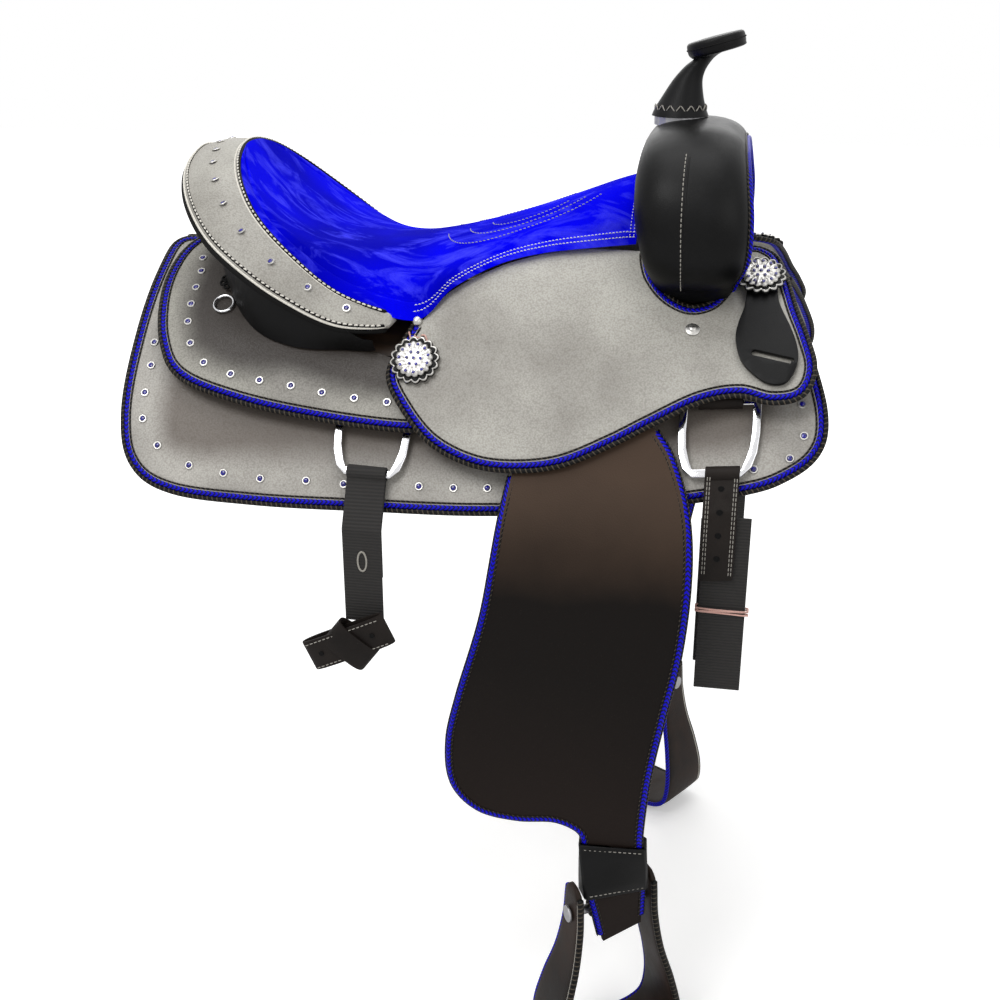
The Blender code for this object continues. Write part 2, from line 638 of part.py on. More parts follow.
def make_rear_jockey(side):
    """Rear jockey with the small leather loop of the string dee, and that dee."""
    hidden = []
    for angle in REAR_JOCKEY_TUCK_ANGLES:
        outward = ramp(angle, BOARD_FOOT_IN) + BOARD_FOOT_WIDTH + REAR_JOCKEY_TUCK
        place = crest(angle) + crest_out(angle) * outward
        sine = (place.y + BARREL_RADIUS * math.sin(SPINE_ANGLE)) / (BARREL_RADIUS + REAR_HEIGHTS[0][1])
        hidden.append((place.x, BARREL_RADIUS * (math.asin(sine) - SPINE_ANGLE)))
    outline = smooth_outline(REAR_JOCKEY_OUTLINE + hidden)
    bm = back_panel_mesh([outline], REAR_JOCKEY_THICKNESS,
                         lambda x, s: rear_jockey_face(x, s) - REAR_JOCKEY_THICKNESS)
    mirror(bm, side)
    jockey = add_object(side_name("rear_jockey", side), bm, "grey_leather")
    hinge = on_back(STRING_DEE_X, STRING_DEE_TOP, STRING_LOOP_BORE + STRING_LOOP_WALL - 0.0012, rear_jockey_face)
    tail = on_back(STRING_DEE_X, STRING_DEE_TOP - 0.010, -0.0006, rear_jockey_face)
    bm = looped_strap((hinge.y, hinge.z), [(tail.y, tail.z)], 0.0009, STRING_LOOP_WIDTH, STRING_DEE_X,
                      STRING_LOOP_BORE, STRING_LOOP_WALL)
    combine(jockey, tool_object(bm, side), "UNION")
    make_string_dee(hinge, side)


def make_string_dee(hinge, side):
    """Small round ring that hangs in the rear jockey's loop."""
    below = on_back(STRING_DEE_X, STRING_DEE_TOP + 0.03, 0.0, rear_jockey_face)
    above = on_back(STRING_DEE_X, STRING_DEE_TOP, 0.0, rear_jockey_face)
    down = (below - above).normalized()
    centre = hinge + down * STRING_DEE_RADIUS
    points = []
    for step in range(20):
        angle = 2 * math.pi * step / 20
        points.append(centre + Vector((STRING_DEE_RADIUS * math.sin(angle), 0.0, 0.0))
                      - down * STRING_DEE_RADIUS * math.cos(angle))
    bm = tube(points, STRING_DEE_WIRE, cyclic=True)
    mirror(bm, side)
    add_object(side_name("string_dee", side), bm, "chrome", flip(hinge, side))


def make_seat_jockey(side):
    """Seat jockey with its piped edge and the cut-out round the swell."""
    outline = smooth_outline(JOCKEY_OUTLINE)
    bm = back_panel_mesh([outline], JOCKEY_THICKNESS, lambda x, s: jockey_face(x, s) - JOCKEY_THICKNESS)
    mirror(bm, side)
    add_object(side_name("seat_jockey", side), bm, "grey_leather")
    edge = piping_points(JOCKEY_OUTLINE, JOCKEY_PIPED, lambda x, s: jockey_face(x, s) - JOCKEY_THICKNESS / 2)
    bm = tube(edge, PIPING_RADIUS)
    mirror(bm, side)
    add_object(side_name("seat_jockey_piping", side), bm, "blue_piping")


def make_keeper(side):
    """Latigo keeper that hangs from the front concho's screw, with its slot."""
    cx, cs, length, height, tilt = KEEPER_SLOT
    slot = []
    for point in circle(1.0, 12):
        run = length / 2 - height / 2
        flat = Vector((point.x * height / 2 + math.copysign(run, point.x), point.y * height / 2))
        slot.append(Matrix.Rotation(tilt, 2) @ flat + Vector((cx, cs)))
    bm = back_panel_mesh([smooth_outline(KEEPER_OUTLINE), slot], KEEPER_THICKNESS,
                         lambda x, s: jockey_face(x, s) + KEEPER_CLEARANCE)
    mirror(bm, side)
    origin = flip(on_back(*FRONT_CONCHO, 0.0, jockey_face), side)
    add_object(side_name("latigo_keeper", side), bm, "black_leather", origin)


# Tree


def make_bar(side):
    """Tree bar with the notch that the stirrup leather hangs through."""
    notch_low, notch_high = LEATHER_X - BAR_NOTCH_HALF, LEATHER_X + BAR_NOTCH_HALF
    notch_floor = BAR_TOP + BAR_NOTCH_DEPTH
    middle = (BAR_TOP + BAR_BOTTOM) / 2
    outline = [
        (BAR_REAR, middle), (BAR_REAR + BAR_TIP, BAR_BOTTOM - BAR_END_STEP), (BAR_REAR + BAR_SHOULDER, BAR_BOTTOM),
        ((BAR_REAR + BAR_FRONT) / 2, BAR_BOTTOM - BAR_END_STEP / 2), (BAR_FRONT - BAR_SHOULDER, BAR_BOTTOM),
        (BAR_FRONT - BAR_TIP * 2 / 3, BAR_BOTTOM - BAR_END_STEP), (BAR_FRONT, middle),
        (BAR_FRONT - BAR_TIP / 3, BAR_TOP + BAR_END_STEP), (BAR_FRONT - BAR_TIP * 4 / 3, BAR_TOP),
        (notch_high + BAR_NOTCH_SLOPE, BAR_TOP), (notch_high, notch_floor), (notch_low, notch_floor),
        (notch_low - BAR_NOTCH_SLOPE, BAR_TOP), (BAR_REAR + BAR_SHOULDER, BAR_TOP),
        (BAR_REAR + BAR_TIP, BAR_TOP + BAR_END_STEP),
    ]
    bm = back_panel_mesh([[Vector(point) for point in outline]], BAR_THICKNESS, lambda x, s: BAR_DEPTH)
    mirror(bm, side)
    add_object(side_name("bar", side), bm, "wood")


def fork_rings(grow):
    """Rings of the fork's arch from foot to foot, grown by a thickness."""
    full = FORK_SECTIONS + [(x, -a, u, l, d) for x, a, u, l, d in FORK_SECTIONS[-2::-1]]
    rings = []
    for index, (middle, across, up, length, depth) in enumerate(full):
        before = full[max(0, index - 1)]
        after = full[min(len(full) - 1, index + 1)]
        along = Vector((after[1] - before[1], after[2] - before[2])).normalized()
        out = Vector((along.y, -along.x))
        ring = []
        for step in range(FORK_SIDES):
            angle = 2 * math.pi * step / FORK_SIDES
            cosine, sine = math.cos(angle), math.sin(angle)
            power = 2.0 / FORK_SQUARENESS
            lx = math.copysign(abs(cosine) ** power, cosine) * (length + grow)
            ld = math.copysign(abs(sine) ** power, sine) * (depth + grow)
            ring.append(Vector((middle + lx, across - out.x * ld, up - out.y * ld)))
        rings.append(ring)
    return rings


def make_fork():
    """Fork cut to sit on both bars and to seat the horn, and the leather over its swells."""
    fork = add_object("fork", loft(fork_rings(0.0)), "wood")
    for side in (1, -1):
        low, high = BAR_TOP - FORK_BED_MARGIN, BAR_BOTTOM + FORK_BED_MARGIN
        near, far = FORK_SECTIONS[0][0] - FORK_BED_HALF, FORK_SECTIONS[0][0] + FORK_BED_HALF
        bed = [Vector((near, low)), Vector((far, low)), Vector((far, high)), Vector((near, high))]
        tool = tool_object(back_panel_mesh([bed], FORK_BED_DEEP, lambda x, s: BAR_FACE + GAP - FORK_BED_DEEP), side)
        combine(fork, tool, "DIFFERENCE")
    bm = bmesh.new()
    bmesh.ops.create_cone(bm, cap_ends=True, segments=24, radius1=HORN_SEAT_RADIUS + GAP,
                          radius2=HORN_SEAT_RADIUS + GAP, depth=0.04)
    bmesh.ops.translate(bm, vec=(HORN_RINGS[0][0], 0.0, HORN_SEAT_Z + 0.02), verts=bm.verts)
    combine(fork, tool_object(bm), "DIFFERENCE")
    inner, outer = fork_rings(COVER_GAP), fork_rings(COVER_GAP + SWELL_COVER_THICKNESS)
    inner, outer = inner[1:-1], outer[1:-1]
    cover = add_object("swell_cover", loft(outer + inner[::-1], closed=True), "black_leather")
    bm = bmesh.new()
    hole = HORN_SEAT_RADIUS + LOOSE_GAP
    bmesh.ops.create_cone(bm, cap_ends=True, segments=24, radius1=hole, radius2=hole, depth=0.10)
    bmesh.ops.translate(bm, vec=(HORN_RINGS[0][0], 0.0, HORN_SEAT_Z + 0.04), verts=bm.verts)
    combine(cover, tool_object(bm), "DIFFERENCE")


def horn_rings(shrink, base_z):
    """Rings of the horn drawn in by a thickness, from its base to the top of the cap."""
    rings = []
    for index, (x, z, radius, tilt) in enumerate(HORN_RINGS):
        turn = Matrix.Rotation(math.radians(-tilt), 3, "Y")
        is_cap_top = index >= len(HORN_RINGS) - 2
        is_cap_bottom = index in (len(HORN_RINGS) - 4, len(HORN_RINGS) - 3)
        lift = -shrink if is_cap_top else (shrink if is_cap_bottom else 0.0)
        if index == len(HORN_RINGS) - 5:
            lift = shrink / 2
        height = base_z if index == 0 else z
        centre = Vector((x, 0.0, height)) + turn @ Vector((0.0, 0.0, lift))
        rings.append([centre + turn @ Vector((p.x, p.y, 0.0)) for p in circle(radius - shrink, HORN_SIDES)])
    return rings


def make_horn():
    """Steel horn on the fork's seat, and the leather cover drawn over it."""
    cover_base = HORN_RINGS[0][1]
    core = horn_rings(HORN_COVER_THICKNESS + 2 * GAP, cover_base)
    flange = [Vector((HORN_RINGS[0][0] + p.x, p.y, HORN_SEAT_Z + GAP)) for p in circle(HORN_SEAT_RADIUS, HORN_SIDES)]
    rise = [Vector((p.x, p.y, cover_base - GAP)) for p in flange]
    add_object("horn", loft([flange, rise] + core), "steel")
    cover = add_object("horn_cover", loft(horn_rings(0.0, cover_base)), "black_leather")
    hollow = horn_rings(HORN_COVER_THICKNESS, cover_base)
    below = [point - Vector((0.0, 0.0, 0.01)) for point in hollow[0]]
    combine(cover, tool_object(loft([below] + hollow)), "DIFFERENCE")


# Cantle and seat


def crest(angle):
    """Point on the cantle's crest, near side, from the rear middle at 0 to the front end at 90 degrees."""
    x = CREST_X - CREST_LENGTH * math.cos(math.radians(abs(angle))) ** CREST_POWER
    across = ramp(abs(angle), CREST_HALF_WIDTHS)
    return Vector((x, math.copysign(across, angle), ramp(abs(angle), CREST_HEIGHTS)))


def crest_out(angle):
    """Level direction straight out from the crest."""
    along = crest(angle + 2.0) - crest(angle - 2.0)
    return Vector((-along.y, along.x, 0.0)).normalized()


def crest_section(angle, places):
    """Section points at the crest as (out, up from the crest) pairs."""
    base, out = crest(angle), crest_out(angle)
    return [base + out * o + Vector((0.0, 0.0, u)) for o, u in places]


def roll_height(angle, outward):
    """Height of the roll's top above the crest, at a distance out from the crest."""
    width, drop = ramp(abs(angle), ROLL_WIDTHS), ramp(abs(angle), ROLL_DROPS)
    middle = ramp(abs(angle), ROLL_CROWNS) - drop / 2
    return ramp(outward, [(ROLL_START, 0.0), (width / 2, middle), (width, -drop)])


def roll_ring(angle):
    """Section of the cantle roll."""
    width = ramp(abs(angle), ROLL_WIDTHS)
    top = [(outward, roll_height(angle, outward)) for outward in (ROLL_START, width / 2, width)]
    return crest_section(angle, top + [(outward, height - ROLL_THICKNESS) for outward, height in top[::-1]])


def over_layer(angle, outward, out):
    """Height of a layer on the back, below a place beside the crest, measured from the crest."""
    base = crest(angle)
    place = base + crest_out(angle) * outward
    return barrel_height(place.x, abs(place.y), out) + LOOSE_GAP - base.z


def both_sides(stations):
    """Angles round the crest from the off side to the near side."""
    return [-a for a in stations[::-1]] + [0] + list(stations)


def make_cantle():
    """Cantle board, the leather roll on its crest and the leather down its back."""
    ends = both_sides(CREST_STATIONS + (ROLL_END,))
    add_object("cantle_roll", loft([roll_ring(angle) for angle in ends]), "grey_leather")
    under = ROLL_THICKNESS + ROLL_CLEARANCE
    board, back = [], []
    for angle in both_sides(CREST_STATIONS):
        turn = abs(angle)
        height = crest(angle).z
        top_in = ramp(turn, BOARD_TOP_IN)
        top_out = top_in + ramp(turn, BOARD_TOP_WIDTHS)
        foot_in = ramp(turn, BOARD_FOOT_IN)
        foot_out = foot_in + BOARD_FOOT_WIDTH
        arch = ramp(turn, BOARD_ARCH) - height
        board.append(crest_section(angle, [
            (top_in, roll_height(angle, top_in) - under), (top_out, roll_height(angle, top_out) - under),
            (foot_out, max(arch, over_layer(angle, foot_out, BAR_FACE + BOARD_FOOT_GAP))),
            (foot_in, max(arch, over_layer(angle, foot_in, BAR_FACE + BOARD_FOOT_GAP)))]))
        near = top_out + LOOSE_GAP
        far = near + CANTLE_BACK_THICKNESS
        low_near = foot_out + CANTLE_BACK_FOOT
        low_far = low_near + CANTLE_BACK_THICKNESS
        rest = max(arch, *(over_layer(angle, place, REAR_HEIGHTS[0][1]) for place in (low_near, low_far)))
        back.append(crest_section(angle, [
            (near, roll_height(angle, near) - under), (far, roll_height(angle, far) - under),
            (low_far, rest), (low_near, rest)]))
    add_object("cantle_board", loft(board), "wood")
    add_object("cantle_back", loft(back), "black_leather")


def seat_stations():
    """Edge and middle points of the seat from the cantle to the fork."""
    stations = []
    for angle, (x, z) in zip(CREST_STATIONS + (90,), SEAT_MIDDLE + [SEAT_END_MIDDLE]):
        stations.append((crest(angle), Vector((x, 0.0, z))))
    for (edge_x, down), (x, z) in zip(SEAT_FRONT_EDGE, SEAT_FRONT_MIDDLE):
        edge = on_back(edge_x, down, SEAT_RIM + SEAT_RIM_CLEARANCE, jockey_face)
        stations.append((edge, Vector((x, 0.0, z))))
    return stations


def seat_grid(shares):
    """Rows of points over the top of the seat, each row from the off side to the near side."""
    rows = []
    for edge, middle in seat_stations():
        row = []
        for v in [-share for share in shares[:0:-1]] + list(shares):
            rise = abs(v) ** SEAT_BOWL_POWER
            sunk = SEAT_CHANNEL_DEPTH if abs(v) == SEAT_CHANNEL else 0.0
            x = middle.x + (edge.x - middle.x) * v * v
            row.append(Vector((x, edge.y * v, middle.z + (edge.z - middle.z) * rise - sunk)))
        rows.append(row)
    return rows


def grid_normals(rows):
    """Directions halfway between a grid's normals and straight up."""
    normals = []
    for i, row in enumerate(rows):
        line = []
        for j in range(len(row)):
            along = rows[min(i + 1, len(rows) - 1)][j] - rows[max(i - 1, 0)][j]
            across = row[min(j + 1, len(row) - 1)] - row[max(j - 1, 0)]
            line.append((along.cross(across).normalized() + Vector((0.0, 0.0, 1.0))).normalized())
        normals.append(line)
    return normals


def shell_from_grid(rows, top, bottom, rim):
    """Closed shell between two depths under a grid; its rim drops straight down by its own depth."""
    normals = grid_normals(rows)
    last_i, last_j = len(rows) - 1, len(rows[0]) - 1

    def layer(depth):
        points = []
        for i, row in enumerate(rows):
            line = []
            for j, point in enumerate(row):
                on_rim = i in (0, last_i) or j in (0, last_j)
                near_rim = i in (1, last_i - 1) or j in (1, 2, last_j - 2, last_j - 1)
                if rim and on_rim:
                    line.append(point - Vector((0.0, 0.0, min(depth, rim))))
                elif rim and near_rim:
                    line.append(point - normals[i][j] * depth * RIM_TAPER)
                else:
                    line.append(point - normals[i][j] * depth)
            points.append(line)
        return points

    bm = bmesh.new()
    upper = [[bm.verts.new(p) for p in row] for row in layer(top)]
    lower = [[bm.verts.new(p) for p in row] for row in layer(bottom)]
    for i in range(last_i):
        for j in range(last_j):
            bm.faces.new((upper[i][j], upper[i + 1][j], upper[i + 1][j + 1], upper[i][j + 1]))
            bm.faces.new((lower[i][j], lower[i][j + 1], lower[i + 1][j + 1], lower[i + 1][j]))
    rim = [(0, j) for j in range(last_j)] + [(i, last_j) for i in range(last_i)]
    rim += [(last_i, j) for j in range(last_j, 0, -1)] + [(i, 0) for i in range(last_i, 0, -1)]
    for (i, j), (k, m) in zip(rim, rim[1:] + rim[:1]):
        bm.faces.new((upper[i][j], upper[k][m], lower[k][m], lower[i][j]))
    bmesh.ops.triangulate(bm, faces=bm.faces)
    return bm


def make_seat():
    """Padded suede seat and the ground seat beneath it."""
    add_object("seat", shell_from_grid(seat_grid(SEAT_ACROSS), 0.0, SEAT_THICKNESS, SEAT_RIM), "suede")
    inner = [share for share in SEAT_ACROSS if share < GROUND_SEAT_ACROSS] + [GROUND_SEAT_ACROSS]
    top = SEAT_THICKNESS + GAP
    shell = shell_from_grid(seat_grid(inner)[2:-1], top, top + GROUND_SEAT_THICKNESS, 0.0)
    add_object("ground_seat", shell, "steel")


# Rigging


def dee_bar(x, down):
    """Centre of a dee's bar over the skirt."""
    return on_back(x, down, DEE_DEPTH, flat)


def make_dee(name, x, top, bottom, side):
    """Flat steel dee in the plane from its top bar down to the billet's bar."""
    upper, lower = dee_bar(x, top), dee_bar(x, bottom)
    reach = (lower - upper).length
    half, r = DEE_WIDTH / 2, DEE_BAR / 2
    outlines = []
    for edge, flat_share in ((r, 0.60), (-r, 0.74)):
        side_x = half + edge - r
        foot = reach + edge
        right = [(1.0, -edge / foot), (1.0, 0.45), (0.96, 0.68), (0.84, 0.88), (flat_share, 1.0)]
        outlines.append([Vector((side_x * a, foot * b)) for a, b in right]
                        + [Vector((-side_x * a, foot * b)) for a, b in right[::-1]])
    bm = slab(outlines, DEE_THICKNESS)
    down = (lower - upper).normalized()
    out = Vector((0.0, -down.z, down.y))
    slope = ridge_slope(x)
    for vert in bm.verts:
        a, b, c = vert.co
        vert.co = upper + down * b + out * (c - DEE_THICKNESS / 2) + Vector((a, 0.0, slope * a))
    bmesh.ops.triangulate(bm, faces=bm.faces)
    mirror(bm, side)
    add_object(side_name(name, side), bm, "chrome", flip(upper, side))


def strap_path(x, end_z):
    """Path of a billet in the cross plane: down the skirt, then plumb below it."""
    edge_s = ramp(x, PLUMB_FROM)
    turn = dee_bar(x, edge_s)
    return [(turn.y, turn.z), (turn.y, end_z)]


def make_rear_billet(side):
    """Flank billet looped on the rear dee, with its end folded and tied in a bundle."""
    start = dee_bar(REAR_DEE_X, REAR_DEE_BOTTOM)
    path = strap_path(REAR_DEE_X, REAR_BILLET_END)
    bm = looped_strap((start.y, start.z), path, STRAP_THICKNESS / 2, REAR_BILLET_WIDTH, REAR_DEE_X)
    mirror(bm, side)
    origin = flip(start, side)
    billet = add_object(side_name("rear_billet", side), bm, "black_leather", origin)
    bm = box((-BUNDLE_LENGTH / 2, -BUNDLE_THICKNESS, -BUNDLE_WIDTH / 2),
             (BUNDLE_LENGTH / 2, 0.0, BUNDLE_WIDTH / 2), 0.006)
    turn = Matrix.Rotation(BUNDLE_TILT, 3, "Y")
    place = Vector((BUNDLE_CENTRE[0], path[0][0] + STRAP_THICKNESS / 2 + 0.001, BUNDLE_CENTRE[1]))
    for vert in bm.verts:
        vert.co = turn @ vert.co + place
    combine(billet, tool_object(bm, side), "UNION")


def make_front_billet(side):
    """Off billet: a punched leather strap on the front dee, sewn to a longer ribbed web."""
    start = dee_bar(FRONT_DEE_X, FRONT_DEE_BOTTOM)
    path = strap_path(FRONT_DEE_X, FRONT_BILLET_END)
    middle = FRONT_DEE_X + FRONT_BILLET_SHIFT
    height = start.z + ridge_slope(FRONT_DEE_X) * FRONT_BILLET_SHIFT
    bm = looped_strap((start.y, height), path, STRAP_THICKNESS / 2, FRONT_BILLET_WIDTH, middle)
    mirror(bm, side)
    billet = add_object(side_name("front_billet", side), bm, "black_leather", flip(start, side))
    inner = path[0][0] - STRAP_THICKNESS / 2 - WEBBING_THICKNESS + 0.001
    low = (middle - WEBBING_WIDTH / 2 + WEBBING_SHIFT, inner, WEBBING_END)
    high = (middle + WEBBING_WIDTH / 2 + WEBBING_SHIFT, inner + WEBBING_THICKNESS, path[0][1] - WEBBING_START)
    combine(billet, tool_object(box(low, high), side), "UNION")


def make_rigging(side):
    """Rigging plate under the bar with two leather loops for the dees."""
    front, rear = FRONT_DEE_X, REAR_DEE_X
    half = RIGGING_WIDTH / 2
    outline = [Vector((rear - half, RIGGING_TOP)), Vector((front + half, RIGGING_TOP)),
               Vector((front + half, RIGGING_TOP + RIGGING_BAND)), Vector((rear - half, RIGGING_TOP + RIGGING_BAND))]
    bm = back_panel_mesh([outline], RIGGING_THICKNESS, lambda x, s: BAR_DEPTH)
    mirror(bm, side)
    rigging = add_object(side_name("rigging", side), bm, "brown_leather")
    for x, top in ((front, FRONT_DEE_TOP), (rear, REAR_DEE_TOP)):
        hinge = dee_bar(x, top)
        neck = on_back(x, RIGGING_TOP + RIGGING_BAND * 0.6, BAR_DEPTH + RIGGING_THICKNESS * 0.7, flat)
        end = on_back(x, RIGGING_TOP + 0.002, BAR_DEPTH + RIGGING_THICKNESS * 0.7, flat)
        bm = looped_strap((hinge.y, hinge.z), [(neck.y, neck.z), (end.y, end.z)], STRAP_THICKNESS / 2,
                          RIGGING_WIDTH, x)
        combine(rigging, tool_object(bm, side), "UNION")


# Stirrup leathers, fender and stirrup


def fender_panel(outlines, thickness, offset):
    """Slab cut along the hanging profile's lines and bent to it."""
    bm = slab(outlines, thickness)
    slice_along(bm, 1, [height for height, _ in FENDER_PATH] + list(TWIST_CUTS))
    slice_along(bm, 0, [NECK_X])
    bend(bm, lambda x, z, out: twist_point(Vector((x, fender_out(z) + offset + out, z))))
    return bm


def make_fender(side):
    """Fender, whose origin is on the line that it flaps about."""
    axis = Vector((FLAP_AXIS_REAR[0], fender_out(FLAP_AXIS_REAR[1]), FLAP_AXIS_REAR[1]))
    bm = fender_panel([smooth_outline(FENDER_OUTLINE)], FENDER_THICKNESS, -FENDER_THICKNESS / 2)
    mirror(bm, side)
    add_object(side_name("fender", side), bm, "brown_leather", flip(axis, side))


def make_upper_leather(side):
    """Stirrup leather over the bar, hooked over its top edge in the notch."""
    half = LEATHER_WIDTH / 2
    low, high = LEATHER_X - half, LEATHER_X + half

    def depth(x, down):
        return ramp(down, UPPER_HEIGHTS)

    outline = [Vector((low, UPPER_TOP)), Vector((high, UPPER_TOP)), Vector((high, UPPER_END[1])),
               Vector((low, UPPER_END[0]))]
    bm = back_panel_mesh([outline], LEATHER_THICKNESS, depth)
    mirror(bm, side)
    origin = flip(barrel(LEATHER_X, 0.10, BAR_FACE), side)
    leather = add_object(side_name("stirrup_leather_upper", side), bm, "brown_leather", origin)
    foot = UPPER_TOP + LEATHER_THICKNESS
    lip = [Vector((low, UPPER_TOP)), Vector((high, UPPER_TOP)), Vector((high, foot)), Vector((low, foot))]
    bm = back_panel_mesh([lip], UPPER_LIP, lambda x, s: depth(x, s) + LEATHER_THICKNESS / 2 - UPPER_LIP)
    combine(leather, tool_object(bm, side), "UNION")


def make_lower_leather(side):
    """Doubled stirrup leather behind the fender, ending in the loop round the stirrup bolt."""
    width = NECK_WIDTH
    outer = STRAP_Y
    path = [(outer, BOLT_Z + 0.03)]
    path += [(outer, z) for z in (-0.55, -0.52, -0.40, -0.29)]
    back_off = FENDER_THICKNESS / 2 + LEATHER_GAP + LEATHER_THICKNESS
    path += [(fender_out(z) - back_off * LEATHER_BEND_ALLOWANCE, z) for z in (-0.235, -0.19, -0.156)]
    bm = strap_with_bolt_loop((outer, BOLT_Z), path, LEATHER_THICKNESS, width, BOLT_BORE, LEATHER_THICKNESS)
    for vert in bm.verts:
        vert.co = twist_point(vert.co)
    slide_forward(bm)
    mirror(bm, side)
    add_object(side_name("stirrup_leather_lower", side), bm, "brown_leather")


def slide_forward(bm):
    """Carry the leather's upper end from over the neck to its place on the bar."""
    for vert in bm.verts:
        rise = (vert.co.z - LEATHER_SLIDE_LOW) / (LEATHER_SLIDE_HIGH - LEATHER_SLIDE_LOW)
        vert.co.x += (LEATHER_X - NECK_X) * min(1.0, max(0.0, rise))


def strap_with_bolt_loop(centre, path, half, width, bore, wall):
    """Doubled leather with a round loop at its lower end."""
    line = [Vector(centre)] + [Vector(point) for point in path]
    left = [Vector((p.x - half, p.y)) for p in line[1:]]
    right = [Vector((p.x + half, p.y)) for p in line[1:]]
    outer_radius = bore + wall
    open_angle = math.asin(half / outer_radius)
    arc = []
    for step in range(13):
        angle = math.pi / 2 - open_angle - (2 * math.pi - 2 * open_angle) * step / 12
        arc.append(line[0] + Vector((math.cos(angle), math.sin(angle))) * outer_radius)
    outline = arc + left + right[::-1]
    bm = slab([outline, circle(bore, 14, centre)], width)
    for vert in bm.verts:
        across, up, out = vert.co
        vert.co = (NECK_X - width / 2 + out, across, up)
    slice_along(bm, 2, TWIST_CUTS + (LEATHER_SLIDE_LOW,))
    slice_along(bm, 0, [NECK_X])
    bmesh.ops.triangulate(bm, faces=bm.faces)
    return bm


def make_hobble(side):
    """Hobble strap round the fender's neck and the leathers."""
    inner_y = STRAP_Y - LEATHER_THICKNESS - LOOSE_GAP
    outer_y = FENDER_PLUMB + FENDER_THICKNESS / 2 + LOOSE_GAP
    half = HOBBLE_WIDTH / 2
    hole = [Vector((-half + HOBBLE_WALL, inner_y)), Vector((half - HOBBLE_WALL, inner_y)),
            Vector((half - HOBBLE_WALL, outer_y)), Vector((-half + HOBBLE_WALL, outer_y))]
    round_off = HOBBLE_WALL
    low_y, high_y = inner_y - HOBBLE_WALL, outer_y + HOBBLE_WALL
    shell = [Vector((-half + round_off, low_y)), Vector((half - round_off, low_y)), Vector((half, low_y + round_off)),
             Vector((half, high_y - round_off)), Vector((half - round_off, high_y)),
             Vector((-half + round_off, high_y)), Vector((-half, high_y - round_off)),
             Vector((-half, low_y + round_off))]
    height = HOBBLE_TOP - HOBBLE_BOTTOM
    bm = slab([shell, hole], height)
    slice_along(bm, 2, [cut - HOBBLE_BOTTOM for cut in TWIST_CUTS])
    slice_along(bm, 0, [0.0])
    for vert in bm.verts:
        vert.co = twist_point(Vector((NECK_X + vert.co.x, vert.co.y, HOBBLE_BOTTOM + vert.co.z)))
    bmesh.ops.triangulate(bm, faces=bm.faces)
    mirror(bm, side)
    add_object(side_name("hobble_strap", side), bm, "black_leather")


def make_buckle(side):
    """Leather buckle plate on the inside of the stirrup leather."""
    back = STRAP_Y - LEATHER_THICKNESS - GAP
    x = NECK_X - 0.006
    bm = box((x - BUCKLE_WIDTH / 2, back - BUCKLE_THICKNESS, BUCKLE_Z - BUCKLE_HEIGHT / 2),
             (x + BUCKLE_WIDTH / 2, back, BUCKLE_Z + BUCKLE_HEIGHT / 2), 0.0008)
    mirror(bm, side)
    add_object(side_name("leather_buckle", side), bm, "steel")


def stirrup_turn():
    """Turn from the stirrup's own frame to its place under the twisted neck."""
    return Matrix.Translation((NECK_X, STRAP_Y, 0.0)) @ Matrix.Rotation(TWIST_ANGLE, 4, "Z")


def make_stirrup(side):
    """Stirrup with two ears, and its bolt."""
    full = STIRRUP_ARM + [(-o, u, h) for o, u, h in STIRRUP_ARM[-2::-1]]
    rings = []
    for index, (out, up, half) in enumerate(full):
        before, after = full[max(0, index - 1)], full[min(len(full) - 1, index + 1)]
        along = Vector((after[0] - before[0], after[1] - before[1])).normalized()
        normal = Vector((along.y, -along.x))
        ring = []
        for across, depth in STIRRUP_SECTION:
            shift = normal * (across * STIRRUP_WALL / 2)
            ring.append(Vector((out + shift.x, depth * half, up + shift.y)))
        rings.append(ring)
    bm = loft(rings)
    bm.transform(stirrup_turn())
    mirror(bm, side)
    origin = flip((NECK_X, STRAP_Y, BOLT_Z), side)
    stirrup = add_object(side_name("stirrup", side), bm, "brown_leather", origin)
    combine(stirrup, tool_object(bolt_mesh(BOLT_RADIUS + GAP, 0.12, 0.0), side), "DIFFERENCE")
    ear = ramp(-BOLT_Z, [(-up, out) for out, up, _ in STIRRUP_ARM]) + STIRRUP_WALL / 2
    bm = bolt_mesh(BOLT_RADIUS, 2 * (ear + LOOSE_GAP), 0.003)
    mirror(bm, side)
    add_object(side_name("stirrup_bolt", side), bm, "steel", origin)


def bolt_mesh(radius, length, head):
    """Bolt along the stirrup's width, with a flat head on each end."""
    profile = [(radius, -length / 2), (radius, length / 2)]
    if head:
        wide = radius * 1.8
        profile = [(wide, -length / 2 - head), (wide, -length / 2), (radius, -length / 2),
                   (radius, length / 2), (wide, length / 2), (wide, length / 2 + head)]
    rings = [[Vector((along, p.x, p.y + BOLT_Z)) for p in circle(r, 14)] for r, along in profile]
    bm = loft(rings)
    bm.transform(stirrup_turn())
    return bm


# Conchos


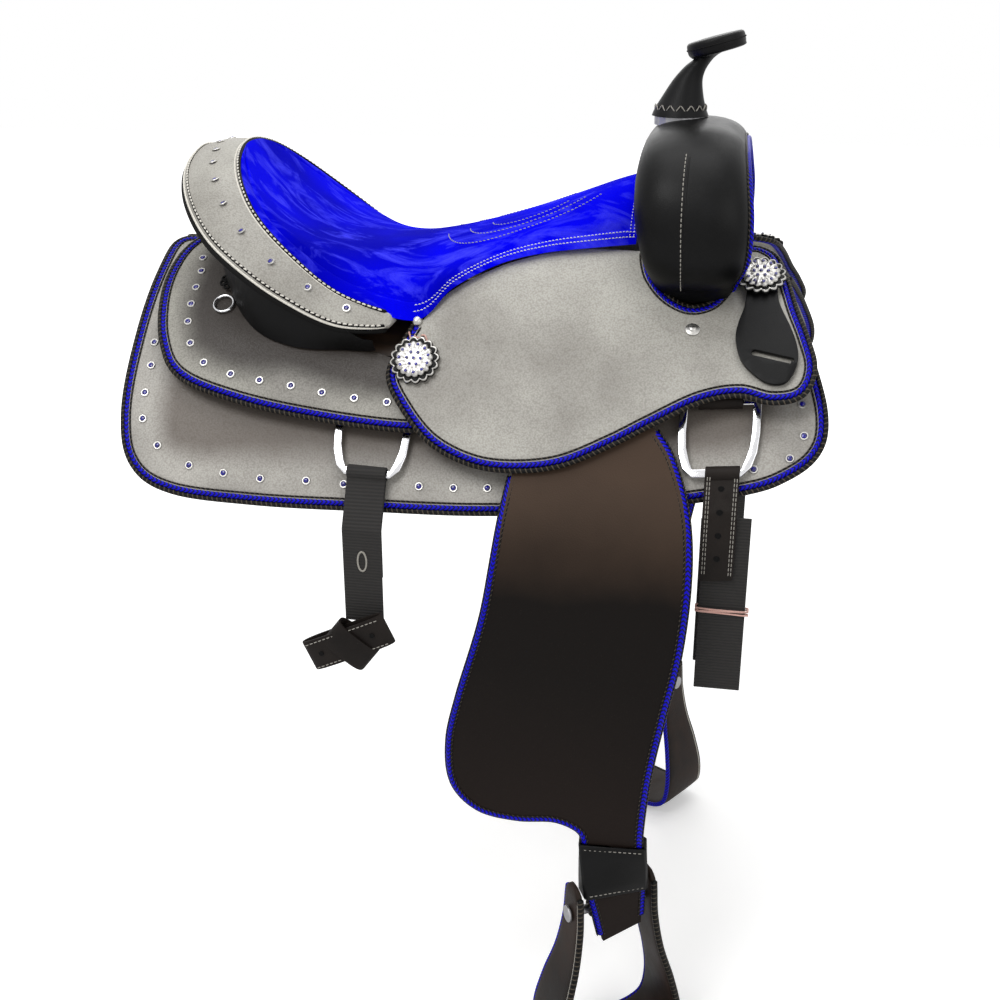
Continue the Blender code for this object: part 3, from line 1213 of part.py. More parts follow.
def make_concho(name, place, lift, side):
    """Scalloped concho on a larger scalloped leather rosette."""
    x, down = place
    centre = on_back(x, down, lift, jockey_face)
    ahead = on_back(x + 0.005, down, lift, jockey_face) - on_back(x - 0.005, down, lift, jockey_face)
    below = on_back(x, down + 0.005, lift, jockey_face) - on_back(x, down - 0.005, lift, jockey_face)
    out = below.cross(ahead).normalized() * -1.0
    if out.y < 0:
        out = -out
    ahead.normalize()
    turn = Matrix((ahead, out.cross(ahead), out)).transposed()
    rosette = [(0.006, 0.0008, 0.0), (0.006, 0.0026, 0.0), (ROSETTE_RADIUS, 0.0026, 0.05),
               (ROSETTE_RADIUS, 0.0050, 0.05), (ROSETTE_RADIUS * 0.93, 0.0058, 0.05)]
    concho = [(CONCHO_RADIUS, 0.0061, 0.06), (CONCHO_RADIUS, 0.0078, 0.06), (CONCHO_RADIUS * 0.86, 0.0094, 0.0),
              (CONCHO_RADIUS * 0.45, 0.0104, 0.0)]
    for label, profile, material in (("rosette", rosette, "black_leather"), ("concho", concho, "chrome")):
        rings = []
        for radius, height, wave in profile:
            ring = []
            for step in range(CONCHO_SCALLOPS * 2):
                angle = math.pi * step / CONCHO_SCALLOPS
                reach = radius * (1.0 - (wave if step % 2 else 0.0))
                ring.append(centre + turn @ Vector((reach * math.cos(angle), reach * math.sin(angle), height)))
            rings.append(ring)
        bm = loft(rings)
        bmesh.ops.triangulate(bm, faces=bm.faces)
        mirror(bm, side)
        add_object(side_name(f"{name}_{label}", side), bm, material)


def make_side(side):
    """Every piece that the saddle has on one side."""
    make_skirt(side)
    make_rear_jockey(side)
    make_seat_jockey(side)
    make_keeper(side)
    make_bar(side)
    make_rigging(side)
    make_dee("rear_dee", REAR_DEE_X, REAR_DEE_TOP, REAR_DEE_BOTTOM, side)
    make_dee("front_dee", FRONT_DEE_X, FRONT_DEE_TOP, FRONT_DEE_BOTTOM, side)
    make_rear_billet(side)
    make_front_billet(side)
    make_upper_leather(side)
    make_fender(side)
    make_lower_leather(side)
    make_hobble(side)
    make_buckle(side)
    make_stirrup(side)
    make_concho("rear", REAR_CONCHO, 0.0, side)
    make_concho("front", FRONT_CONCHO, KEEPER_CLEARANCE + KEEPER_THICKNESS, side)


def main():
    """Build the saddle."""
    make_fork()
    make_horn()
    make_cantle()
    make_seat()
    for side in (1, -1):
        make_side(side)


SADDLE, CUTTERS = clear_scene()
main()
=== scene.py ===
"""Looks of a ranch saddle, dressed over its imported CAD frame.

Forward is +X, the near side is +Y and up is +Z. Every near-side piece is modelled once and copied to the off side.
"""

import logging
import math
from dataclasses import dataclass, field
from enum import Enum
from functools import cached_property, lru_cache
from typing import Callable, Sequence

import bpy
import numpy as np
from mathutils import Matrix, Vector, noise


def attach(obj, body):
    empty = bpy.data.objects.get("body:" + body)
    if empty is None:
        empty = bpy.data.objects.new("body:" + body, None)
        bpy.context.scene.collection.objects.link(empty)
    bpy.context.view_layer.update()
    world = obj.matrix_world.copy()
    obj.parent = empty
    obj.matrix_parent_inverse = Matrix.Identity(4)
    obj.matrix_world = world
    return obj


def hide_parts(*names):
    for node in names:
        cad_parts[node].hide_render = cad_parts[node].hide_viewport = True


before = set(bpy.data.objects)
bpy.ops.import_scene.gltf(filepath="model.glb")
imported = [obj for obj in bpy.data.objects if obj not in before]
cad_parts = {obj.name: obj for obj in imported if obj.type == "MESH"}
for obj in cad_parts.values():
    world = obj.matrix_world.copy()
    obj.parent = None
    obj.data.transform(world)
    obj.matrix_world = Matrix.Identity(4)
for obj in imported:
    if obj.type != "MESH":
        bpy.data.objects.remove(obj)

LOG = logging.getLogger("saddle")

Table = Sequence[tuple[float, float]]
Depth = Callable[[float, float], float]
Place = Callable[[float, float, float], Vector]
Station = tuple[Vector, Vector, Vector]
Socket = bpy.types.NodeSocket

WHITE = (1.0, 1.0, 1.0, 1.0)


class Side(Enum):
    """Side of the saddle, with the sign of its Y."""

    LEFT = 1
    RIGHT = -1

    @property
    def tag(self) -> str:
        """Word that names the side in nodes and bodies."""
        return self.name.lower()


# Form of the back that every layer follows


def ramp(value: float, table: Table) -> float:
    """Read a table of pairs with straight lines between them.

    Args:
        value: Where to read it.
        table: Pairs of place and height, in rising order.

    Returns:
        The height there.
    """
    if value <= table[0][0]:
        return table[0][1]
    for (low, first), (high, second) in zip(table, table[1:]):
        if value <= high:
            return first + (second - first) * (value - low) / (high - low)
    return table[-1][1]


def eased(value: float, table: Table, even: bool = False) -> float:
    """Read a table of pairs with a smooth curve through them.

    Args:
        value: Where to read it.
        table: Pairs of place and height, in rising order.
        even: Whether the curve is level at the first pair, as over a middle line.

    Returns:
        The height there.
    """
    rows = ([(2 * table[0][0] - table[1][0], table[1][1])] if even else []) + list(table)
    if value <= table[0][0]:
        return table[0][1]
    if value >= rows[-1][0]:
        return rows[-1][1]
    index = next(i for i in range(len(rows) - 1) if value <= rows[i + 1][0])
    (x0, y0), (x1, y1) = rows[index], rows[index + 1]

    def slope(k: int) -> float:
        """Slope through the neighbours of a row."""
        low, high = rows[max(0, k - 1)], rows[min(len(rows) - 1, k + 1)]
        return (high[1] - low[1]) / (high[0] - low[0])

    span = x1 - x0
    t = (value - x0) / span
    start, end = slope(index) * span, slope(index + 1) * span
    return ((2 * t - 3) * t * t + 1) * y0 + ((t - 2) * t + 1) * t * start + (3 - 2 * t) * t * t * y1 \
        + (t - 1) * t * t * end


def cubic(t: float) -> tuple[float, float, float, float]:
    """Shares of four neighbours in a smooth curve between the middle two."""
    return (((-t + 2) * t - 1) * t / 2, ((3 * t - 5) * t * t + 2) / 2, ((-3 * t + 4) * t + 1) * t / 2,
            (t - 1) * t * t / 2)


def around(rows: Sequence, t: float) -> list[tuple]:
    """Four rows around a place counted in rows, each with its share there.

    Args:
        rows: Rows to choose from.
        t: Place, counted in rows.

    Returns:
        The rows and their shares.
    """
    last = len(rows) - 1
    index = min(last - 1, max(0, int(t)))
    return [(rows[min(last, max(0, index + k - 1))], share) for k, share in enumerate(cubic(t - index))]


def blend(rows: Sequence[Sequence[float]], t: float) -> list[float]:
    """Read rows of sizes at a place counted in rows, with a smooth curve between them."""
    near = around(rows, t)
    return [sum(share * row[k] for row, share in near) for k in range(len(rows[0]))]


@lru_cache(maxsize=None)
def level(depth: float) -> Depth:
    """Layer at one depth over the back, the same function each time."""
    return lambda _x, _down: depth


FLAP_HEIGHTS = [(0.15, 0.046), (0.20, 0.045), (0.25, 0.0435)]
FLANK_HEIGHTS = [(0.00, 0.045), (0.05, 0.042), (0.10, 0.028), (0.15, 0.010), (0.20, 0.002), (0.25, 0.0)]
FLANK_SHARE = [(0.12, 1.0), (0.20, 0.35), (0.28, 0.0)]
REAR_HEIGHTS = [(0.15, 0.044), (0.22, 0.036)]
REAR_DROP = [(0.27, 0.0), (0.36, 0.012)]
REAR_DEPTH = 0.044


def jockey_face(x: float, down: float) -> float:
    """Outer face of the seat jockey over the back."""
    return ramp(down, FLAP_HEIGHTS) + ramp(down, FLANK_HEIGHTS) * ramp(x, FLANK_SHARE)


def rear_jockey_face(x: float, down: float) -> float:
    """Outer face of the rear jockey over the back."""
    return ramp(down, REAR_HEIGHTS) - ramp(-x, REAR_DROP)


@dataclass(frozen=True)
class Back:
    """Round back of the saddle's layers, read smoothly between the knots that the solids share."""

    radius: float = 0.42
    spine: float = math.radians(22.0)
    rise: float = 0.018
    span: float = 0.31
    step_along: float = 0.09
    step_down: float = 0.03

    def ridge(self, x: float) -> float:
        """Height of the spine line along the back."""
        return self.rise * (x / self.span) ** 2

    @lru_cache(maxsize=None)
    def knot(self, depth: Depth, i: int, j: int) -> tuple[Vector, Vector]:
        """Point and outward direction of a layer at one knot.

        Args:
            depth: The layer.
            i: Knot along the back.
            j: Knot down the side.

        Returns:
            The point on the layer and the direction out of it.
        """
        x, down = i * self.step_along, j * self.step_down
        angle = self.spine + down / self.radius
        out = Vector((0.0, math.sin(angle), math.cos(angle)))
        across = self.radius * (math.sin(angle) - math.sin(self.spine))
        drop = self.radius * (math.cos(self.spine) - math.cos(angle))
        return Vector((x, across, self.ridge(x) - drop)) + out * depth(x, down), out

    def on(self, depth: Depth, x: float, down: float, out: float = 0.0) -> Vector:
        """Point of a layer.

        Args:
            depth: The layer.
            x: How far forward.
            down: How far down the side from the spine.
            out: How far out from the layer.

        Returns:
            The point on the near side.
        """
        i, j = math.floor(x / self.step_along + 1e-6), math.floor(down / self.step_down + 1e-6)
        along = cubic(x / self.step_along - i)
        across = cubic(down / self.step_down - j)
        point = Vector((0.0, 0.0, 0.0))
        for a, share_a in enumerate(along):
            for b, share_b in enumerate(across):
                base, normal = self.knot(depth, i + a - 1, j + b - 1)
                point += (base + normal * out) * (share_a * share_b)
        return point

    def layer(self, depth: Depth) -> Place:
        """Function that places a point on a layer."""
        return lambda x, down, out: self.on(depth, x, down, out)


BACK = Back()


def smooth_outline(points: Sequence[tuple], steps: int = 8) -> list[Vector]:
    """Closed outline through chosen points, round between them except at corners.

    Args:
        points: Pairs, where a third item marks a corner.
        steps: Points between each two.

    Returns:
        The outline's points.
    """
    result = []
    for index, here in enumerate(points):
        after = points[(index + 1) % len(points)]
        p1, p2 = Vector(here[:2]), Vector(after[:2])
        p0 = p1 * 2 - p2 if len(here) > 2 else Vector(points[index - 1][:2])
        p3 = p2 * 2 - p1 if len(after) > 2 else Vector(points[(index + 2) % len(points)][:2])
        for step in range(steps):
            shares = cubic(step / steps)
            result.append(p0 * shares[0] + p1 * shares[1] + p2 * shares[2] + p3 * shares[3])
    return result


def inset(outline: Sequence[Vector], distance: float) -> list[Vector]:
    """Closed outline drawn in by a distance, or out where it is negative.

    Args:
        outline: The outline.
        distance: How far in.

    Returns:
        The new outline.
    """
    count = len(outline)
    area = sum(outline[i - 1].x * outline[i].y - outline[i].x * outline[i - 1].y for i in range(count))
    turn = 1.0 if area > 0 else -1.0
    result = []
    for index in range(count):
        along = (outline[(index + 1) % count] - outline[index - 1]).normalized()
        result.append(outline[index] + Vector((-along.y, along.x)) * (distance * turn))
    return result


# Finishes


def colour(code: str) -> tuple[float, float, float, float]:
    """Linear colour of an sRGB hex value."""
    parts = [int(code[i:i + 2], 16) / 255 for i in (1, 3, 5)]
    return tuple(p / 12.92 if p <= 0.04045 else ((p + 0.055) / 1.055) ** 2.4 for p in parts) + (1.0,)


def feed(tree: bpy.types.NodeTree, item: bpy.types.Node, inputs: dict) -> None:
    """Set a node's inputs, or link those that are given as sockets.

    Args:
        tree: The tree that holds the node.
        item: The node.
        inputs: Values or sockets by name or number.
    """
    for key, value in inputs.items():
        if isinstance(value, bpy.types.NodeSocket):
            tree.links.new(value, item.inputs[key])
        else:
            item.inputs[key].default_value = value


def add_node(tree: bpy.types.NodeTree, kind: str, inputs: dict | None = None,
             **settings: object) -> bpy.types.Node:
    """Add a shader node.

    Args:
        tree: The material's tree.
        kind: The node's type without its prefix.
        inputs: Values or sockets for its inputs, by name or number.
        settings: Its other settings; stops are the pairs of a colour ramp.

    Returns:
        The node.
    """
    item = tree.nodes.new("ShaderNode" + kind)
    for key, value in settings.items():
        if key == "stops":
            elements = item.color_ramp.elements
            while len(elements) < len(value):
                elements.new(0.5)
            for element, (place, tone) in zip(elements, value):
                element.position, element.color = place, colour(tone)
        else:
            setattr(item, key, value)
    feed(tree, item, inputs or {})
    return item


class Brush:
    """Adds nodes to one material or world and joins them to its shader."""

    def __init__(self, tree: bpy.types.NodeTree, shader: str) -> None:
        """Take the tree and its shader."""
        self.tree, self.shader = tree, tree.nodes[shader]

    def add(self, kind: str, inputs: dict | None = None, output: int | str = 0, **settings: object) -> Socket:
        """Add a node and take one of its outputs.

        Args:
            kind: The node's type without its prefix.
            inputs: Values or sockets for its inputs.
            output: Name or number of the output.
            settings: Its other settings.

        Returns:
            The output.
        """
        return add_node(self.tree, kind, inputs, **settings).outputs[output]

    @cached_property
    def where(self) -> Socket:
        """Place on the object, in metres."""
        return self.add("TexCoord", output="Object")

    @cached_property
    def axes(self) -> bpy.types.NodeOutputs:
        """Place on the object, axis by axis."""
        return add_node(self.tree, "SeparateXYZ", {0: self.where}).outputs

    @cached_property
    def cord(self) -> bpy.types.NodeOutputs:
        """Turn round a cord as X and distance along it as Y."""
        return add_node(self.tree, "SeparateXYZ", {0: self.add("UVMap", uv_map="cord")}).outputs

    def noise(self, scale: float, detail: float = 2.0, **more: object) -> Socket:
        """Noise over the object."""
        return self.add("TexNoise", {"Vector": self.where, "Scale": scale, "Detail": detail, **more})

    def cells(self, scale: float, output: str = "Distance", feature: str = "F1", **more: object) -> Socket:
        """Cells over the object."""
        return self.add("TexVoronoi", {"Vector": self.where, "Scale": scale, **more}, output, feature=feature)

    def math(self, operation: str, *values: Socket | float) -> Socket:
        """Work out a value from others."""
        return self.add("Math", dict(enumerate(values)), operation=operation)

    def spread(self, value: Socket, low: float, high: float, start: float, end: float, **settings: object) -> Socket:
        """Map the range from low to high to the one from start to end."""
        return self.add("MapRange", {0: value, 1: low, 2: high, 3: start, 4: end}, **settings)

    def tones(self, value: Socket, *stops: tuple[float, str]) -> Socket:
        """Colour a value by a ramp of hex colours."""
        return self.add("ValToRGB", {0: value}, stops=stops)

    def mix(self, share: Socket, first: Socket | str, second: Socket | str) -> Socket:
        """Mix two colours, each a socket or a hex value."""
        first, second = (colour(tone) if isinstance(tone, str) else tone for tone in (first, second))
        return self.add("Mix", {0: share, 6: first, 7: second}, 2, data_type="RGBA")

    def set(self, inputs: dict) -> None:
        """Set or link inputs of the shader."""
        feed(self.tree, self.shader, inputs)

    def bump(self, height: Socket, strength: float, distance: float, invert: bool = False) -> None:
        """Raise the surface by a height."""
        self.set({"Normal": self.add("Bump", {"Height": height, "Strength": strength, "Distance": distance},
                                     invert=invert)})


@dataclass(frozen=True)
class Finish:
    """A surface finish; each kind paints its own nodes."""

    name: str
    roughness: float = 0.6

    def material(self) -> bpy.types.Material:
        """Material of the finish, made once.

        Returns:
            The material.
        """
        found = bpy.data.materials.get(self.name)
        if found:
            return found
        made = bpy.data.materials.new(self.name)
        made.use_nodes = True
        brush = Brush(made.node_tree, "Principled BSDF")
        brush.set({"Roughness": self.roughness})
        self.paint(brush)
        return made

    def paint(self, brush: Brush) -> None:
        """Add the finish's nodes."""


@dataclass(frozen=True)
class GrainLeather(Finish):
    """Pressed-grain leather with an uneven hand-rubbed colour: pebbles with painted shade in their pits, cloudy tone,
    and a dark inner field away from the edge that is partly darker leather and partly painted shade under what
    overhangs the panel.
    """

    light: str = "#B4B2AA"
    dark: str = "#8E8B84"
    inner: str = "#4A4037"
    inner_share: float = 0.0
    inner_from: float = 0.03
    inner_to: float = 0.09
    inner_drift: float = 0.025
    grain_mm: float = 1.7
    grain_depth: float = 0.25

    def paint(self, brush: Brush) -> None:
        """Add pebble grain with painted shade in its pits, clouds, and the darker field away from the edge, which is
        partly painted shade.

        Args:
            brush: Adds the nodes.
        """
        pebble = brush.cells(1000 / self.grain_mm, feature="SMOOTH_F1", Smoothness=0.6)
        clouds = brush.noise(9.0, 4.0)
        tone = brush.tones(clouds, (0.35, self.dark), (0.65, self.light))
        # The pits between the pebbles are mixed towards the inner colour: painted shade in the grain's hollows.
        tone = brush.mix(brush.spread(pebble, 0.25, 0.75, 0.0, 0.30), tone, self.inner)
        # Darker field away from the edge: partly the leather's darker tone, partly painted shade under the cantle,
        # swell and panels that lie over it.
        if self.inner_share:
            inward = brush.add("Attribute", output="Fac", attribute_name="inward")
            wide = brush.math("MULTIPLY_ADD", clouds, 2 * self.inner_drift, inward)
            inner = brush.spread(wide, self.inner_from + self.inner_drift, self.inner_to + self.inner_drift, 0.0,
                                 self.inner_share, interpolation_type="SMOOTHSTEP")
            tone = brush.mix(inner, tone, self.inner)
        rough = brush.spread(pebble, 0.0, 1.0, self.roughness - 0.08, self.roughness + 0.12)
        brush.set({"Base Color": tone, "Roughness": rough})
        brush.bump(brush.math("MULTIPLY_ADD", brush.noise(1600.0), 0.15, pebble), self.grain_depth, 0.0006, True)


@dataclass(frozen=True)
class Suede(Finish):
    """Dyed suede, split and brushed: matt nap that lies in lighter and darker swipes."""

    deep: str = "#0000A0"
    full: str = "#0000E2"
    brushed: str = "#4446F4"
    sheen: str = "#1414FF"

    def paint(self, brush: Brush) -> None:
        """Add the swipes of the nap and its fine fuzz.

        Args:
            brush: Adds the nodes.
        """
        turned = brush.add("Mapping", {"Vector": brush.where, "Rotation": (0.0, 0.3, 0.6), "Scale": (1.0, 2.6, 1.4)})
        swipes = brush.noise(11.0, 5.0, Vector=turned, Roughness=0.62, Distortion=1.6)
        tone = brush.tones(brush.noise(7.0), (0.36, self.deep), (0.56, self.full))
        tone = brush.mix(brush.spread(swipes, 0.50, 0.68, 0.0, 0.75), tone, self.brushed)
        fuzz = brush.noise(900.0, 3.0)
        tone = brush.mix(brush.spread(fuzz, 0.4, 0.7, 0.0, 0.25), tone, self.deep)
        brush.set({"Base Color": tone, "Specular IOR Level": 0.04, "Sheen Weight": 0.10, "Sheen Roughness": 0.5,
                   "Sheen Tint": colour(self.sheen)})
        brush.bump(fuzz, 0.35, 0.0005)


@dataclass(frozen=True)
class SmoothLeather(Finish):
    """Drum-dyed skirting leather, plated smooth: fine pores, faint creases and a low polish."""

    main: str = "#060606"
    worn: str = "#101011"
    crease: float = 0.12
    polish: float = 0.13

    def paint(self, brush: Brush) -> None:
        """Add pores, creases and faint wear.

        Args:
            brush: Adds the nodes.
        """
        wear = brush.noise(14.0, 6.0, Roughness=0.65)
        tone = brush.tones(wear, (0.38, self.main), (0.72, self.worn))
        rough = brush.spread(wear, 0.3, 0.7, self.roughness - 0.06, self.roughness + 0.12)
        brush.set({"Base Color": tone, "Roughness": rough, "Specular IOR Level": self.polish})
        folds = brush.noise(60.0, 8.0, Distortion=0.8)
        brush.bump(brush.math("MULTIPLY_ADD", folds, 2.0, brush.cells(950.0)), self.crease, 0.0008)


@dataclass(frozen=True)
class HangLeather(Finish):
    """Oiled fender leather: fine grain, brown near the seat, almost black where it hangs."""

    top: str = "#44362C"
    middle: str = "#100C0A"
    foot: str = "#1A1310"

    def paint(self, brush: Brush) -> None:
        """Add the tone down the fender and its grain.

        Args:
            brush: Adds the nodes.
        """
        drift = brush.math("MULTIPLY_ADD", brush.noise(7.0, 4.0), 0.10, brush.axes["Z"])
        share = brush.spread(drift, -0.60, -0.06, 0.0, 1.0)
        tone = brush.tones(share, (0.30, self.foot), (0.58, self.middle), (0.74, self.middle), (0.94, self.top))
        brush.set({"Base Color": tone, "Specular IOR Level": 0.10})
        brush.bump(brush.cells(700.0, feature="SMOOTH_F1"), 0.22, 0.0005, True)


@dataclass(frozen=True)
class Braid(Finish):
    """Round lace braided from flat strands, read along the cord's own map: strands cross in a fishbone."""

    strand: str = "#0600C4"
    gap: str = "#020110"
    pitch_mm: float = 4.5
    strands: float = 4.0

    def paint(self, brush: Brush) -> None:
        """Add the crossing strands.

        Args:
            brush: Adds the nodes.
        """
        zig = brush.math("PINGPONG", brush.math("MULTIPLY", brush.cord["X"], self.strands), 1.0)
        run = brush.math("MULTIPLY_ADD", brush.cord["Y"], 1000 / self.pitch_mm, zig)
        wave = brush.math("PINGPONG", run, 0.5)
        tone = brush.tones(wave, (0.10, self.gap), (0.34, self.strand))
        brush.set({"Base Color": tone, "Specular IOR Level": 0.15})
        brush.bump(wave, 0.6, 0.0012)


@dataclass(frozen=True)
class Whip(Finish):
    """Whip lacing laid slantwise round an edge: a broad waxed black lace beside a narrow brown-grey one."""

    first: str = "#030303"
    second: str = "#4A4238"
    pitch_mm: float = 5.2

    def paint(self, brush: Brush) -> None:
        """Add the slanted stripes.

        Args:
            brush: Adds the nodes.
        """
        run = brush.math("MULTIPLY_ADD", brush.cord["Y"], 1000 / self.pitch_mm, brush.cord["X"])
        tone = brush.tones(brush.math("FRACT", run), (0.0, self.first), (0.70, self.first), (0.75, self.second),
                           (0.93, self.second), (0.98, self.first))
        brush.set({"Base Color": tone, "Specular IOR Level": 0.15})
        brush.bump(brush.math("PINGPONG", run, 0.25), 0.7, 0.0016)


@dataclass(frozen=True)
class Metal(Finish):
    """Plated or polished metal with fine handling marks."""

    tint: str = "#D8D8DA"
    dull: str = "#8C8C90"
    marks: float = 0.05

    def paint(self, brush: Brush) -> None:
        """Add the faint marks to the polish.

        Args:
            brush: Adds the nodes.
        """
        marks = brush.noise(220.0, 5.0)
        tone = brush.mix(brush.spread(marks, 0.3, 0.8, 0.0, 0.35), self.tint, self.dull)
        rough = brush.spread(marks, 0.3, 0.7, self.roughness, self.roughness + self.marks * 2)
        brush.set({"Metallic": 1.0, "Base Color": tone, "Roughness": rough})


@dataclass(frozen=True)
class Crystal(Finish):
    """Foil-backed cut glass: deep colour, hard gloss."""

    body: str = "#08044A"
    heart: str = "#1C14A0"

    def paint(self, brush: Brush) -> None:
        """Add cells of a lighter blue, painted glints of the cut facets."""
        # The lighter heart colour is painted glints of the facets, not a colour of the glass.
        tone = brush.tones(brush.cells(900.0, "Color"), (0.2, self.body), (0.9, self.heart))
        brush.set({"Base Color": tone, "Coat Weight": 0.25, "Coat Roughness": 0.03})


@dataclass(frozen=True)
class Thread(Finish):
    """Waxed bonded thread, lightly twisted."""

    tint: str = "#E6E2D8"
    shade: str = "#7A766E"

    def paint(self, brush: Brush) -> None:
        """Add the twist's shading."""
        shade = brush.spread(brush.noise(1500.0, 1.0), 0.35, 0.7, 0.0, 0.5)
        brush.set({"Base Color": brush.mix(shade, self.tint, self.shade)})


@dataclass(frozen=True)
class Webbing(Finish):
    """Woven flat webbing: ribs across the strap and a fine crossed weave."""

    yarn: str = "#1D1A18"
    gap: str = "#060505"
    rib_mm: float = 3.2
    yarns_per_metre: float = 900.0

    def paint(self, brush: Brush) -> None:
        """Add the ribs and the weave.

        Args:
            brush: Adds the nodes.
        """
        rib = brush.math("PINGPONG", brush.math("MULTIPLY", brush.axes["Z"], 1000 / self.rib_mm), 0.5)
        yarn = brush.math("PINGPONG", brush.math("MULTIPLY", brush.axes["X"], self.yarns_per_metre), 0.5)
        height = brush.math("MULTIPLY_ADD", yarn, 0.5, rib)
        brush.set({"Base Color": brush.tones(height, (0.1, self.gap), (0.5, self.yarn))})
        brush.bump(height, 0.8, 0.001)


@dataclass(frozen=True)
class Wool(Finish):
    """Shearling fleece: tight creamy curls, their hollows painted darker as shade."""

    tip: str = "#E2DACA"
    root: str = "#A79C86"

    def paint(self, brush: Brush) -> None:
        """Add the curls, with painted shade in the hollows between them.

        Args:
            brush: Adds the nodes.
        """
        curl = brush.noise(160.0, 6.0, Distortion=2.5)
        # Low points of the curls take the darker root colour: painted shade in the fleece's hollows.
        brush.set({"Base Color": brush.tones(curl, (0.32, self.root), (0.6, self.tip))})
        brush.bump(curl, 1.0, 0.004)


@dataclass(frozen=True)
class Rawhide(Finish):
    """Varnished rawhide over the tree's laminated wood, coloured dark brown, with long faint fibres."""

    amber: str = "#3A2A1C"
    fibre: str = "#1E1510"

    def paint(self, brush: Brush) -> None:
        """Add the fibres.

        Args:
            brush: Adds the nodes.
        """
        drawn = brush.add("Mapping", {"Vector": brush.where, "Scale": (0.2, 1.0, 1.0)})
        fibre = brush.noise(160.0, 5.0, Vector=drawn)
        brush.set({"Base Color": brush.tones(fibre, (0.3, self.fibre), (0.7, self.amber))})
        brush.bump(fibre, 0.2, 0.0006)


@dataclass(frozen=True)
class Studio(Finish):
    """Painted studio floor, faintly mottled: it keeps the shadow and fades to plain white away from the object."""

    lift: float = 0.30
    near: float = 1.35
    far: float = 2.40

    def paint(self, brush: Brush) -> None:
        """Add the faint mottle, and the fade that only the camera sees.

        Args:
            brush: Adds the nodes.
        """
        tone = brush.tones(brush.noise(3.0), (0.3, "#FCFCFC"), (0.7, "#FFFFFF"))
        reach = brush.add("VectorMath", {0: brush.where}, "Value", operation="LENGTH")
        fade = brush.spread(reach, self.near, self.far, self.lift, 1.0, interpolation_type="SMOOTHSTEP")
        glow = brush.math("MULTIPLY", fade, brush.add("LightPath", output="Is Camera Ray"))
        brush.set({"Base Color": tone, "Specular IOR Level": 0.0, "Emission Color": WHITE, "Emission Strength": glow})


SUEDE = Suede("suede_brushed_blue", 0.95)
SEAT_GREY = GrainLeather("leather_pebbled_grey", 0.50)
# The inner field that darkens away from the edge is partly darker leather and partly painted shade; on the rear jockey
# it is mostly painted shadow under the cantle.
FLAP_GREY = GrainLeather("leather_pebbled_flap", 0.50, inner_share=0.18, inner_from=0.06, inner_to=0.12)
REAR_GREY = GrainLeather("leather_pebbled_rear", 0.55, light="#A8A69C", inner="#1E140C", inner_share=0.97,
                         inner_from=0.006, inner_to=0.040)
SKIRT_GREY = GrainLeather("leather_pebbled_skirt", 0.55, light="#B4B1AA", dark="#8F8C86", inner="#4E443C",
                          inner_share=0.85, inner_from=0.022, inner_to=0.060)
BLACK = SmoothLeather("leather_smooth_black", 0.40)
BILLET = SmoothLeather("leather_latigo_dark", 0.55, main="#14100E", worn="#241F1C", crease=0.2)
EDGE = SmoothLeather("leather_burnished_edge", 0.65, main="#050505", worn="#0C0B0B")
HANG = HangLeather("leather_oiled_brown", 0.55)
BLUE_BRAID = Braid("lace_braided_blue", 0.42)
WHIP = Whip("lace_whip_black_silver", 0.45)
CHROME = Metal("steel_chromed", 0.10, tint="#E4E4E6")
SILVER = Metal("silver_plate_engraved", 0.26, tint="#BDBBB6", marks=0.12)
STEEL = Metal("steel_brushed", 0.35, tint="#A8A8AA", marks=0.1)
GEM = Crystal("glass_crystal_blue", 0.08)
THREAD = Thread("thread_waxed_white", 0.6)
GREY_THREAD = Thread("thread_waxed_grey", 0.6, tint="#9A968E")
WEB = Webbing("webbing_ribbed_black", 0.8)
WOOL = Wool("fleece_shearling", 0.95)
RAWHIDE = Rawhide("rawhide_varnished", 0.45)
PALE_TIE = Thread("tie_pink_cord", 0.6, tint="#D9A79B")
STIRRUP = SmoothLeather("leather_stirrup_brown", 0.45, main="#16110F", worn="#33261F", crease=0.2)
STAGE = Studio("studio_white", 0.9)


# Making and shaping meshes


def only(obj: bpy.types.Object) -> bpy.types.Object:
    """Make a piece the one that is selected and active.

    Args:
        obj: The piece.

    Returns:
        The piece.
    """
    bpy.ops.object.select_all(action="DESELECT")
    obj.select_set(True)
    bpy.context.view_layer.objects.active = obj
    return obj


def in_edit(obj: bpy.types.Object, *steps: Callable[[], object]) -> bpy.types.Object:
    """Run edit-mode steps on the whole of a mesh.

    Args:
        obj: The piece.
        steps: Calls to make with everything selected.

    Returns:
        The piece.
    """
    only(obj)
    bpy.ops.object.mode_set(mode="EDIT")
    for step in steps:
        bpy.ops.mesh.select_all(action="SELECT")
        step()
    bpy.ops.object.mode_set(mode="OBJECT")
    return obj


def merge() -> None:
    """Merge doubled points."""
    bpy.ops.mesh.remove_doubles(threshold=0.00002)


def face_out() -> None:
    """Turn every face of a closed shell outwards."""
    bpy.ops.mesh.normals_make_consistent(inside=False)


def apply(obj: bpy.types.Object, kind: str, **settings: object) -> bpy.types.Object:
    """Add a modifier and apply it.

    Args:
        obj: The piece.
        kind: The modifier's type.
        settings: Its settings.

    Returns:
        The piece.
    """
    modifier = obj.modifiers.new(kind.lower(), kind)
    for key, value in settings.items():
        setattr(modifier, key, value)
    only(obj)
    bpy.ops.object.modifier_apply(modifier=modifier.name)
    return obj


def rounded(obj: bpy.types.Object, width: float, segments: int = 2, angle: float = 40.0) -> bpy.types.Object:
    """Round the sharp edges of a piece."""
    return apply(obj, "BEVEL", width=width, segments=segments, limit_method="ANGLE", angle_limit=math.radians(angle))


